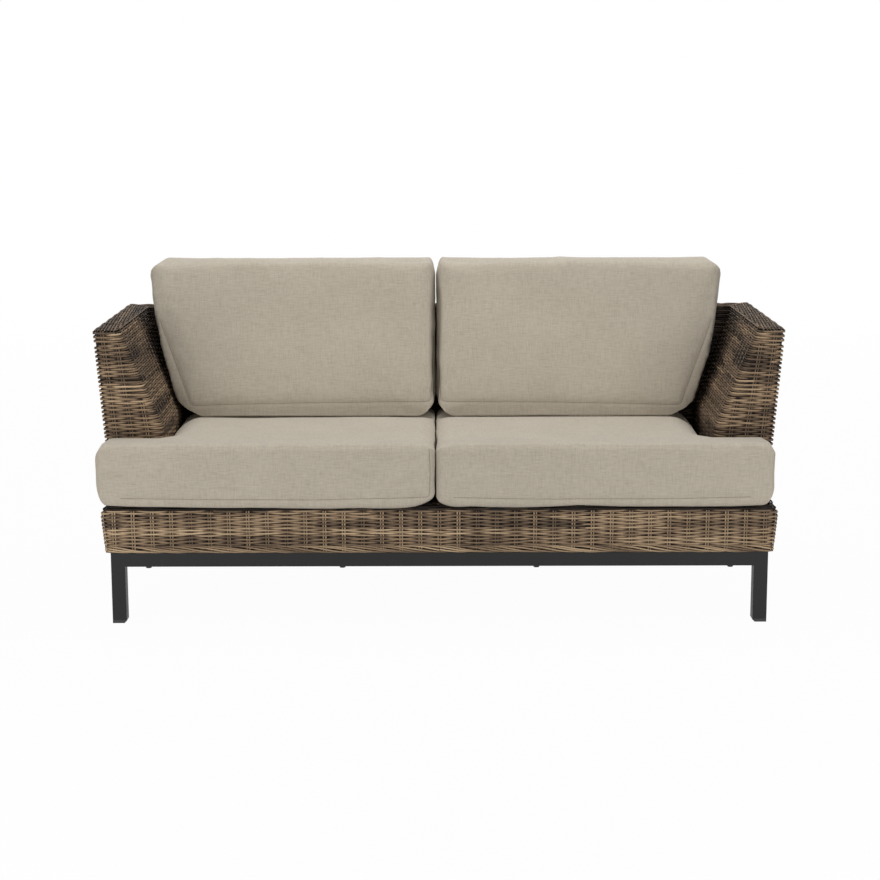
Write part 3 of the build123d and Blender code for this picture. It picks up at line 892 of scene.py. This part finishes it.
def swung(distance, knots, values):
    """Smooth swing of a strand through its value at each knot."""
    interval = np.clip(np.searchsorted(knots, distance, side="right") - 1, 0, len(knots) - 2)
    share = (distance - knots[interval]) / (knots[interval + 1] - knots[interval])
    first, second = values[interval], values[interval + 1]
    return (first + second) / 2 + (first - second) / 2 * np.cos(pi * share)


class Bundle:
    """Strands gathered into one mesh: smooth oval tubes with closed ends and a tone at each point.

    A strand's halves are its half sizes across its upward direction and along it.
    """

    def __init__(self):
        self.points, self.tones, self.corners, self.sizes = [], [], [], []
        self.count = 0

    def add(self, path, halves, tone, upward):
        path = np.asarray(path, float)
        along = unit(np.gradient(path, axis=0))
        side = unit(np.cross(along, upward))
        rise = np.cross(side, along) * halves[1]
        side = side * halves[0]
        angles = np.arange(strand_sides)[None, :, None] * 2 * pi / strand_sides
        ring = np.cos(angles) * side[:, None, :] + np.sin(angles) * rise[:, None, :]
        self.points.append((path[:, None, :] + ring).reshape(-1, 3))
        self.tones.append(np.repeat(np.broadcast_to(tone, len(path)), strand_sides))
        steps = np.arange(len(path) - 1)[:, None] * strand_sides
        first = self.count + steps + np.arange(strand_sides)[None, :]
        turn = np.roll(first, -1, axis=1)
        quads = np.stack([first, turn, turn + strand_sides, first + strand_sides], axis=-1)
        self.corners.append(quads.reshape(-1))
        self.sizes.append(np.full(quads.size // 4, 4))
        last = self.count + (len(path) - 1) * strand_sides
        start_cap = self.count + np.arange(strand_sides)[::-1]
        self.corners.append(np.concatenate([start_cap, last + np.arange(strand_sides)]))
        self.sizes.append(np.full(2, strand_sides))
        self.count += len(path) * strand_sides

    def piece(self, name, material, slot_name, *stands_for, body="sofa_frame"):
        """Turn the strands into a piece that rides on a body."""
        points = np.concatenate(self.points).astype(np.float32)
        corners = np.concatenate(self.corners).astype(np.int32)
        sizes = np.concatenate(self.sizes)
        mesh = bpy.data.meshes.new(name)
        mesh.vertices.add(len(points))
        mesh.vertices.foreach_set("co", points.ravel())
        mesh.loops.add(len(corners))
        mesh.loops.foreach_set("vertex_index", corners)
        mesh.polygons.add(len(sizes))
        starts = np.concatenate(([0], np.cumsum(sizes)[:-1])).astype(np.int32)
        mesh.polygons.foreach_set("loop_start", starts)
        mesh.update(calc_edges=True)
        mesh.shade_smooth()
        # The tone holds each strand's own colour and the painted shade laid on it
        tones = mesh.attributes.new("tone", "FLOAT", "POINT")
        tones.data.foreach_set("value", np.concatenate(self.tones).astype(np.float32))
        mesh.materials.append(material)
        made = bpy.data.objects.new(name, mesh)
        bpy.context.scene.collection.objects.link(made)
        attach(made, body)
        if stands_for:
            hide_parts(*stands_for)
        return made


chance = np.random.default_rng(4)
upright = np.array([0.0, 0.0, 1.0])

# Threads of the cushions' seams
for name, lines in seams.items():
    threads = Bundle()
    for line in lines:
        threads.add(line, (thread_radius, thread_radius), 0.5, (0.0, 1.0, 0.0))
    threads.piece(f"{name}_seams", seam_thread, "cushion_fabric", body=f"{name}_cushion")


class Dye:
    """Tones of a band of rows: strands come in batches, each a few hand widths long."""

    batches = 60
    lengths = (0.10, 0.36)
    lean_of_tones = (1.6, 1.5)
    joint_shift = 0.03
    row_swing = 0.14
    darkest, spread = 0.30, 0.6

    def __init__(self):
        lengths = chance.uniform(*self.lengths, self.batches)
        self.ends = np.cumsum(lengths) - lengths.sum() / 2
        self.tones = chance.beta(*self.lean_of_tones, self.batches + 1)

    def row(self):
        """Tone at signed places along one row of the band, with the row's own shade and joints."""
        shift = chance.uniform(-self.joint_shift, self.joint_shift)
        own = chance.uniform(-self.row_swing, self.row_swing)

        def tone(place):
            batch = self.tones[np.searchsorted(self.ends, place + shift)]
            return batch * self.spread + self.darkest + own
        return tone


def dyes(count, fewest=2, most=5):
    """One dye for each row; neighbouring rows share theirs in bands of two to five."""
    found = []
    while len(found) < count:
        found += [Dye()] * int(chance.integers(fewest, most + 1))
    return found[:count]


def wandering(distance, reach=0.0006):
    """Slow unevenness of a hand-laid strand, in a long and a short wave."""
    long_wave, short_wave, short_share = 0.23, 0.09, 0.6
    phases = chance.uniform(0, 2 * pi, 2)
    slow = np.sin(distance * 2 * pi / long_wave + phases[0])
    return reach * (slow + short_share * np.sin(distance * 2 * pi / short_wave + phases[1]))


def upper_corners(z, depth=0.0):
    """Plan of a row above the deck, or so deep behind it: back, side, arm front, seat side."""
    outer, rear = outer_x(z) - arm_inset - depth, rear_y(z) - arm_inset - depth
    inner = arm_inner_x(z) + arm_inset + depth
    inner_rear = back_inner_y(z) + arm_inset + depth
    front = arm_face + arm_inset + depth
    arm = [(outer, rear), (outer, front), (inner, front), (inner, inner_rear)]
    return [(0, rear), *arm, (0, inner_rear)]


def bends_of(corners):
    """Radius at each bend of a row: the arm's inner front corner is a wide one."""
    bends = [corner_bend] * (len(corners) - 2)
    if len(corners) == len(upper_corners(deck_top)):
        bends[2] = arm_corner_round
    return bends


def apron_round(z):
    """How far the apron's rounded top edge draws in at a height."""
    rise = min(max(z - (deck_top - apron_top_round), 0), apron_highest_share * apron_top_round)
    return apron_top_round - (apron_top_round**2 - rise**2) ** 0.5


def lower_corners(z, depth=0.0):
    """Plan of a row below the deck, or so deep behind it: back, side, ear and apron."""
    outer, rear = outer_x(z) - weave_inset - depth, rear_y(z) - weave_inset - depth
    front = front_y(z) + weave_inset + depth + apron_round(z)
    return [(0, rear), (outer, rear), (outer, arm_face), (outer - apron_round(z), front), (0, front)]


def arm_front_columns(z, width):
    """Stake pairs on an arm's front, from its outer corner: they fan out downwards."""
    share = min((shell_height - z) / (shell_height - lean_start), 1.0)
    first = first_column + first_column_gain * share
    pitch = column_pitch + column_pitch_gain * share
    places = first + pitch * np.arange(arm_columns)
    return places[places < width - column_margin_share * pitch]


def upper_knots(route, z, long_floats=False):
    """Knots of an upper row, and how far it swings out or in there as a share of the full swing."""
    front_start, front_end = route.corner[2:4]
    columns = front_start + arm_front_columns(z, front_end - front_start)
    knots = [route.spread(0, rear_stakes), route.spread(1, side_stakes), [front_start], columns]
    knots += [route.spread(3, side_stakes), route.spread(4, rear_stakes), [route.length]]
    front_index = rear_stakes + side_stakes
    seat_side_index = front_index + 1 + len(columns)
    signs = np.concatenate([(-1.0) ** np.arange(seat_side_index), (-1.0) ** np.arange(front_index + 1)])
    signs[[rear_stakes, front_index]] *= corner_swing_share
    if long_floats:
        signs[front_index:seat_side_index] = signs[front_index + 1]
    signs[seat_side_index:] *= seat_side_swing_share
    return np.concatenate(knots), signs


def lower_knots(route):
    """The same for a lower row: the apron's stake pairs have an even pitch from the middle."""
    apron = route.length - apron_pitch * np.arange(rear_stakes)[::-1]
    knots = [route.spread(0, rear_stakes), route.spread(1, side_stakes), route.spread(2, ear_stakes)]
    knots = np.concatenate([*knots, [route.corner[3]], apron])
    signs = (-1.0) ** np.arange(len(knots))
    signs[[rear_stakes, rear_stakes + side_stakes + ear_stakes]] *= corner_swing_share
    return knots, signs


wale_top = weave_foot + wale_height
upper_edge = shell_height - arm_inset
lower_heights = np.arange(wale_top + row_pitch / 2, deck_top - apron_top_gap, row_pitch)
upper_heights = np.arange(lower_heights[-1] + arm_row_pitch, upper_edge, arm_row_pitch)
row_heights = np.concatenate([lower_heights, upper_heights])
row_dyes = dyes(len(row_heights))
rear_dyes = dyes(len(row_heights))

apron_wicker = Bundle()
arm_wicker, back_outer_wicker, back_inner_wicker = ({-1: Bundle(), 1: Bundle()} for _ in range(3))
for row, z in enumerate(row_heights):
    above = z > lower_heights[-1]
    route = Route(upper_corners(z) if above else lower_corners(z))
    long_floats = row >= len(row_heights) - long_float_rows
    knots, signs = upper_knots(route, z, long_floats) if above else lower_knots(route)
    depth, half = (arm_strand_depth, arm_strand_half) if above else (strand_depth, strand_half)
    distance = samples(knots)
    out = swung(distance, knots, signs * (1 if row % 2 else -1))
    plan = route.at(distance)
    plan = plan + outward(plan) * (out * (depth + stake_depth))[:, None]
    recess = recess_shade * np.maximum(-out, 0) ** 2
    front_shade, rear_shade = row_dyes[row].row(), rear_dyes[row].row()
    # Painted shade on the apron's top rows under the cushions, on an arm's seat side and, deeper, behind
    # the back cushion
    seat_side = 0
    shadow = apron_shadow * (z > deck_top - apron_shadow_height)
    if above:
        shadow = arm_darkening
        seat_side = np.clip((distance - route.corner[3]) / seat_side_fade, 0, 1) * seat_side_shade
        behind = np.clip((plan[:, 1] - behind_cushion) / behind_fade, 0, 1)
        seat_side = seat_side + behind * (distance > route.corner[3]) * behind_cushion_shade
    rear_part = distance <= route.corner[1] + hair
    rest = distance >= route.corner[1] - hair
    for hand in (-1, 1):
        level = z + wandering(distance)
        path = np.column_stack([plan[:, 0] * hand, plan[:, 1], level])
        front_tone = front_shade(hand * (route.length - distance)) - seat_side - recess
        front_tone = front_tone - shadow
        rear_tone = rear_shade(hand * distance) - recess
        back_outer_wicker[hand].add(path[rear_part], (depth, half), rear_tone[rear_part], upright)
        if above:
            arm_part = rest & (distance <= route.corner[4] + hair)
            inner_part = distance >= route.corner[4] - hair
            arm_wicker[hand].add(path[arm_part], (depth, half), front_tone[arm_part], upright)
            back_inner_wicker[hand].add(path[inner_part], (depth, half), front_tone[inner_part], upright)
        else:
            apron_wicker.add(path[rest], (depth, half), front_tone[rest], upright)


def stake_pair(bundle, points, along, bend, upward, lightest=0.5):
    """Two straight strands side by side, on a route whose corners carry the direction between them."""
    tone = chance.uniform(stake_darkest, lightest)
    points, along = np.array(points, float), np.array(along, float)
    for side in (-1, 1):
        path, _ = rounded(points + side * stake_spread * along, bend)
        bundle.add(path, (stake_half, stake_depth), tone + side * stake_contrast, upward)


def knot_places(z):
    """Each knot of an upper row at a height, with the row's direction there."""
    route = Route(upper_corners(z))
    knots, _ = upper_knots(route, z)
    plan = route.at(knots)
    along = unit(route.at(knots + probe) - route.at(knots - probe))
    return plan, along


# Levels where the faces bend, with the knots there; arm fronts have other counts at each level
stake_foot = weave_foot + stake_foot_gap
level_knots = {z: knot_places(z) for z in (stake_foot, deck_top, lean_start, upper_edge)}


def stake_place(z, knot, from_end):
    """A stake's place on the outer face, or on the inner face when it is counted from the end."""
    plan, along = level_knots[z]
    index = len(plan) - 1 - knot if from_end else knot
    direction = -along[index] if from_end else along[index]
    return (*plan[index], z), (*direction, 0.0)


for knot in range(rear_stakes + side_stakes):
    found = [stake_place(z, knot, False) for z in (stake_foot, upper_edge)]
    found += [stake_place(z, knot, True) for z in (upper_edge, lean_start, deck_top)]
    for hand in (-1, 1):
        points = [(hand * p[0], p[1], p[2]) for p, _ in found]
        along = [(hand * a[0], a[1], a[2]) for _, a in found]
        bundle = back_outer_wicker[hand] if knot <= rear_stakes else arm_wicker[hand]
        normal = (0.7, 0.1, 0.7) if knot > rear_stakes else (0.1, 0.7, 0.7)
        if hand == 1 or knot:
            stake_pair(bundle, points, along, edge_bend, normal)



def stake_on(route, place, z, hand):
    """A stake's place at a distance along a row, and the row's direction there."""
    before, here, after = route.at(place + np.array([-probe, 0, probe]))
    direction = unit(after - before)
    return (hand * here[0], here[1], z), (hand * direction[0], direction[1], 0)


arm_front_levels = np.linspace(upper_edge, deck_top, 24)
arm_front_bend = 0.001
for hand in (-1, 1):
    for column in range(arm_columns):
        found = []
        for z in arm_front_levels:
            route = Route(upper_corners(z))
            places = route.corner[2] + arm_front_columns(z, route.corner[3] - route.corner[2])
            if column < len(places):
                found.append(stake_on(route, places[column], z, hand))
        if len(found) > 2:
            stake_pair(arm_wicker[hand], *zip(*found), arm_front_bend, (0, 1, 0.2))

apron_levels = (stake_foot, deck_top - apron_top_round, deck_top - apron_shadow_height)
for knot in range(rear_stakes + ear_stakes):
    for hand in (-1, 1):
        found = []
        for z in apron_levels:
            route = Route(lower_corners(z))
            knots, _ = lower_knots(route)
            found.append(stake_on(route, knots[len(knots) - 1 - knot], z, hand))
        normal = (0, 1, 0.3) if knot < rear_stakes else (1, 0, 0.3)
        if hand == 1 or knot:
            stake_pair(apron_wicker, *zip(*found), edge_bend, normal, lightest=0.85)


def wale(bundle, route, level):
    """Band of long strands that twist round each other along a row: they fall to the right in front."""
    turns = max(round(2 * route.length / wale_length), 1)
    twist = turns * pi / route.length
    distance = np.linspace(0, route.length, ceil(route.length / wale_step))
    plan = route.at(distance)
    normal = outward(plan)
    for hand in (-1, 1):
        for strand in range(wale_strands):
            start = 2 * pi * (strand + wale_spread[strand]) / wale_strands
            phase = hand * (route.length - distance) * twist + start
            shifted = plan + normal * (np.sin(phase) * wale_swing)[:, None]
            z = level + np.cos(phase) * (wale_height / 2 - wale_half) + wandering(distance)
            path = np.column_stack([shifted[:, 0] * hand, shifted[:, 1], z])
            drift = wale_drift * np.sin(distance * 2 * pi / wale_drift_length + strand)
            tone = wale_tones[strand] + drift + wale_shading * np.sin(phase)
            bundle.add(path, (wale_depth, wale_half), tone, upright)


wale_spread = chance.uniform(-0.25, 0.25, wale_strands)
wale_tones = chance.uniform(0.20, 0.60, wale_strands)
wale_level = weave_foot + wale_height / 2
wale(apron_wicker, Route(lower_corners(wale_level)), wale_level)

# Top of the arms and of the back: rows run round the U, over the stakes that cross it
top_rows = 13
top_border_share = 0.80
border_shares = (0.89, 1.0)
top_half = 0.0026
edge_row_swing_share = 0.35
# Painted shade: the top rows are darkened against the light they take from above
top_contrast, top_shade = 0.6, 0.18
top_wandering = 0.0002
arm_top_wicker = {-1: Bundle(), 1: Bundle()}
back_top_wicker = Bundle()
top_dyes = dyes(top_rows + len(border_shares))
outer_plan, inner_plan = upper_corners(upper_edge)[:3], upper_corners(upper_edge)[:2:-1]
top_shares = [*(top_border_share * row / (top_rows - 1) for row in range(top_rows)), *border_shares]
for row, share in enumerate(top_shares):
    corners = [np.array(a) + share * (np.array(b) - np.array(a)) for a, b in zip(outer_plan, inner_plan)]
    to_bend = max(arm_corner_round - (corners[-1][0] - inner_plan[-1][0]), 0)
    corners[-1][1] += arm_corner_round - (arm_corner_round**2 - to_bend**2) ** 0.5
    route = Route(corners)
    knots = np.concatenate([route.spread(0, rear_stakes), route.spread(1, side_stakes), [route.length]])
    values = (-1.0) ** np.arange(len(knots)) * arm_swing * (1 if row % 2 else -1)
    if row == 0:
        values = values * edge_row_swing_share
    if share == 1.0:
        values = np.full(len(knots), arm_swing)
    distance = samples(knots)
    plan = route.at(distance)
    shade = top_dyes[row].row()
    out = swung(distance, knots, values)
    recess = recess_shade * np.maximum(-out / arm_swing, 0) ** 2
    back_part = distance <= route.corner[1] + hair
    arm_part = distance >= route.corner[1] - hair
    for hand in (-1, 1):
        level = upper_edge + out + wandering(distance, top_wandering)
        path = np.column_stack([plan[:, 0] * hand, plan[:, 1], level])
        tone = (shade(hand * distance) - recess) * top_contrast - top_shade
        back_top_wicker.add(path[back_part], (top_half, arm_strand_depth), tone[back_part], upright)
        arm_top_wicker[hand].add(path[arm_part], (top_half, arm_strand_depth), tone[arm_part], upright)

hands = {-1: "left", 1: "right"}
slot_name = "woven_strand"
apron_wicker.piece("apron_wicker", woven_strand, slot_name, "front_apron_weave")
back_top_wicker.piece("back_top_wicker", woven_strand, slot_name, "back_top_weave")
for hand, name in hands.items():
    arm_nodes = [f"{name}_{part}_weave" for part in ("side", "arm_front", "arm_inner")]
    halves = (
        (arm_wicker, f"{name}_arm_wicker", arm_nodes),
        (back_outer_wicker, f"back_outer_{name}_wicker", ["back_outer_weave"]),
        (back_inner_wicker, f"back_inner_{name}_wicker", ["back_inner_weave"]),
        (arm_top_wicker, f"{name}_arm_top_wicker", [f"{name}_arm_top_weave"]),
    )
    for wicker, piece_name, stands_for in halves:
        wicker[hand].piece(piece_name, woven_strand, slot_name, *stands_for)


# Dark sheets behind the weave and under the deck: painted shade for the slots between strands
backing_gap = 0.0004
backing_edge_gap = 0.004
backing_depth = arm_inset + backing_gap


def whole_row(corners, z, bends):
    """Points of a level row on both sides of the sofa, from its right half."""
    half, _ = rounded(corners, bends)
    whole = np.concatenate([half[::-1] * (-1, 1), half])
    return np.column_stack([whole, np.full(len(whole), z)])


def backing(name, corners_at, levels):
    """Thin closed sheet behind the weave, through the same corners at each level."""
    plans = [corners_at(z, backing_depth) for z in levels]
    rows = [whole_row(corners, z, bends_of(corners)) for corners, z in zip(plans, levels)]
    return sheet_of(name, np.array(rows))


def sheet_of(name, grid):
    """Thin closed sheet through a grid of points."""
    mesh = bpy.data.meshes.new(name)
    across = grid.shape[1]
    starts = [a for a in range(across * (len(grid) - 1)) if (a + 1) % across]
    faces = [(a, a + 1, a + across + 1, a + across) for a in starts]
    mesh.from_pydata(grid.reshape(-1, 3).tolist(), [], faces)
    mesh.materials.append(painted_shade_backing)
    made = bpy.data.objects.new(name, mesh)
    bpy.context.scene.collection.objects.link(made)
    body = made.modifiers.new("thickness", "SOLIDIFY")
    body.thickness = backing_thickness
    settle(made)
    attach(made, "sofa_frame")
    return made


backing_foot, backing_top = weave_foot + backing_thickness, upper_edge - backing_depth
apron_bend = deck_top - apron_top_round
backing("upper_shade_backing", upper_corners, (apron_bend, lean_start, backing_top))
backing("lower_shade_backing", lower_corners, (backing_foot, apron_bend, deck_top - backing_edge_gap))
rim = upper_corners(backing_top, backing_depth)
rims = [whole_row(half, backing_top, corner_bend) for half in (rim[:3], rim[:2:-1])]
sheet_of("top_shade_backing", np.array(rims))

# Seat deck: flat strands across the sofa over stakes from front to rear
deck_half, deck_depth = 0.0030, 0.0016
deck_pitch = 0.0063
deck_step = 0.012
deck_swing = deck_depth + stake_depth
deck_level = deck_top - deck_swing - deck_depth
deck_margin = apron_round(deck_top) + 2 * weave_inset
deck_front = apron_edge + deck_margin + deck_pitch
# Painted shade: the deck's rows are darkened for the shade of the cushions over them
deck_shade = 0.5
deck_stake_tones = (0.4, 0.9)
deck_wicker = Bundle()
deck_dyes = dyes(200)
for row, y in enumerate(np.arange(deck_front, back_foot + weave_inset, deck_pitch)):
    half = outer_x(deck_top) - deck_margin if y < arm_face else arm_foot + weave_inset
    count = int(half / apron_pitch)
    knots = np.concatenate([-apron_pitch * np.arange(count, 0, -1), apron_pitch * np.arange(count + 1)])
    knots = np.concatenate([[-half], knots, [half]])
    values = (-1.0) ** (np.arange(len(knots)) + row + count) * deck_swing
    across = samples(knots, deck_step)
    path = np.column_stack([across, np.full(len(across), y), deck_level + swung(across, knots, values)])
    tone = deck_dyes[row].row()(across) - deck_shade
    deck_wicker.add(path, (deck_half, deck_depth), tone, upright)
for stake in range(-int(outer_x(deck_top) / apron_pitch), int(outer_x(deck_top) / apron_pitch) + 1):
    x = stake * apron_pitch
    rear = back_foot if abs(x) < arm_foot else arm_face
    for side in (-1, 1):
        ends = [(x + side * stake_spread, y, deck_level) for y in (deck_front, rear)]
        deck_wicker.add(ends, (stake_half, stake_depth), chance.uniform(*deck_stake_tones), upright)
deck_wicker.piece("deck_wicker", woven_strand, slot_name, "seat_deck_weave")

# Painted shade: dark sheets under the deck
deck_under = deck_level - deck_swing - deck_depth - backing_gap
deck_backings = {
    "deck_shade_backing": (arm_foot + weave_inset, arm_face, back_foot + weave_inset),
    "deck_front_shade_backing": (outer_x(deck_top) - deck_margin, deck_front, arm_face),
}
for name, (half, front, rear) in deck_backings.items():
    sheet_of(name, np.array([[(x, y, deck_under) for x in (-half, half)] for y in (front, rear)]))


# Finishes of the frame's own pieces
tube_edge = 0.0015


def finish_of(node):
    """Material of a piece that keeps its own shape."""
    if node.startswith("base_") or node.endswith("_leg"):
        return powder_coat
    if node == "foot_caps":
        return foot_plastic
    if node in ("body_bolts", "bolt_washers"):
        return black_steel
    if node == "rivet_nuts":
        return zinc_steel
    if node.endswith("_core"):
        return cushion_foam
    if node.endswith("_zip_chain"):
        return zip_nylon
    if node.endswith("_zip_slider"):
        return zip_metal
    if node.endswith("_cover"):
        return cushion_fabric
    if node.endswith("_weave"):
        return woven_strand
    return body_tube


for node, piece in nodes.items():
    for slot in piece.material_slots:
        slot.material = finish_of(node)
    if finish_of(node) == powder_coat:
        edge = piece.modifiers.new("tube_edge", "BEVEL")
        edge.width = tube_edge
        edge.segments = 2
        edge.limit_method = "ANGLE"
        edge.harden_normals = True

# Studio
floor_size = 30.0
shadow_reach = 1.2
floor_lift = 0.97
floor_grey = 0.60
floor_finish = Finish("studio_floor")
seen = floor_finish.node("ShaderNodeLightPath", output="Is Camera Ray")
mirrored_ray = floor_finish.node("ShaderNodeLightPath", output="Is Glossy Ray")
passed_ray = floor_finish.node("ShaderNodeLightPath", output="Is Transmission Ray")
place = {0: floor_finish.places((1, 1, 1))}
reach = floor_finish.node("ShaderNodeVectorMath", {"operation": "LENGTH"}, place, output=1)
away = {0: reach, 1: shadow_reach, 2: floor_size / 4, 3: floor_lift, 4: 1.0}
lift = floor_finish.node("ShaderNodeMapRange", {"interpolation_type": "SMOOTHSTEP"}, away)
matt = floor_finish.node("ShaderNodeBsdfDiffuse", {}, {"Color": (floor_grey, floor_grey, floor_grey, 1)})
bright = floor_finish.node("ShaderNodeEmission", {}, {"Color": (1, 1, 1, 1), "Strength": 1.0})
direct = floor_finish.node("ShaderNodeMath", {"operation": "MAXIMUM"}, {0: seen, 1: mirrored_ray})
direct = floor_finish.node("ShaderNodeMath", {"operation": "MAXIMUM"}, {0: direct, 1: passed_ray})
blend = floor_finish.node("ShaderNodeMixShader", {}, {0: direct * lift, 1: matt, 2: bright})
floor_finish.node("ShaderNodeOutputMaterial", {}, {"Surface": blend})
bpy.ops.mesh.primitive_plane_add(size=floor_size, location=(0, 0, 0))
floor = bpy.context.object
floor.name = "studio_floor"
floor.data.materials.append(floor_finish.material)

world = bpy.data.worlds.new("studio")
bpy.context.scene.world = world
world.use_nodes = True
world_nodes, world_links = world.node_tree.nodes, world.node_tree.links
backdrop = world_nodes["Background"]
rays = world_nodes.new("ShaderNodeLightPath")
ambient = 0.45
shown = rays
for ray in ("Is Glossy Ray", "Is Transmission Ray"):
    either = world_nodes.new("ShaderNodeMath")
    either.operation = "MAXIMUM"
    world_links.new(shown.outputs[0], either.inputs[0])
    world_links.new(rays.outputs[ray], either.inputs[1])
    shown = either
level = world_nodes.new("ShaderNodeMath")
level.operation = "MAXIMUM"
level.inputs[1].default_value = ambient
world_links.new(shown.outputs[0], level.inputs[0])
backdrop.inputs["Color"].default_value = (1, 1, 1, 1)
world_links.new(level.outputs[0], backdrop.inputs["Strength"])


def softbox(name, place, aim, size, power):
    """Square area light that points at a place."""
    lamp = bpy.data.lights.new(name, "AREA")
    lamp.shape = "RECTANGLE"
    lamp.size, lamp.size_y = size
    lamp.energy = power
    holder = bpy.data.objects.new(name, lamp)
    bpy.context.scene.collection.objects.link(holder)
    holder.location = place
    holder.rotation_euler = (Vector(aim) - Vector(place)).to_track_quat("-Z", "Y").to_euler()
    return holder


softbox("overhead", (0.0, 0.3, 3.0), (0, 0.0, 0.4), (3.6, 2.2), 52.0)
softbox("front_left", (-1.7, -2.3, 0.75), (0, -0.3, 0.45), (1.6, 1.2), 22.0)
softbox("front_right", (1.7, -2.3, 0.75), (0, -0.3, 0.45), (1.6, 1.2), 19.0)
softbox("rear", (0.0, 3.2, 1.4), (0, 0.2, 0.5), (3.0, 1.6), 22.0)

# Camera, fitted to the photograph's feet, rails, apron and arm tops
camera_place = (0.0021, -5.239, 1.375)
camera_pitch = radians(10.449)
camera_roll = radians(-0.13)
camera_data = bpy.data.cameras.new("camera")
camera_data.lens = 80.0
camera_data.sensor_width = 36.0
camera = bpy.data.objects.new("camera", camera_data)
bpy.context.scene.collection.objects.link(camera)
camera.matrix_world = (
    Matrix.Translation(camera_place)
    @ Matrix.Rotation(pi / 2 - camera_pitch, 4, "X")
    @ Matrix.Rotation(camera_roll, 4, "Z")
)
bpy.context.scene.camera = camera
bpy.context.scene.view_settings.view_transform = "Standard"

bpy.context.view_layer.update()
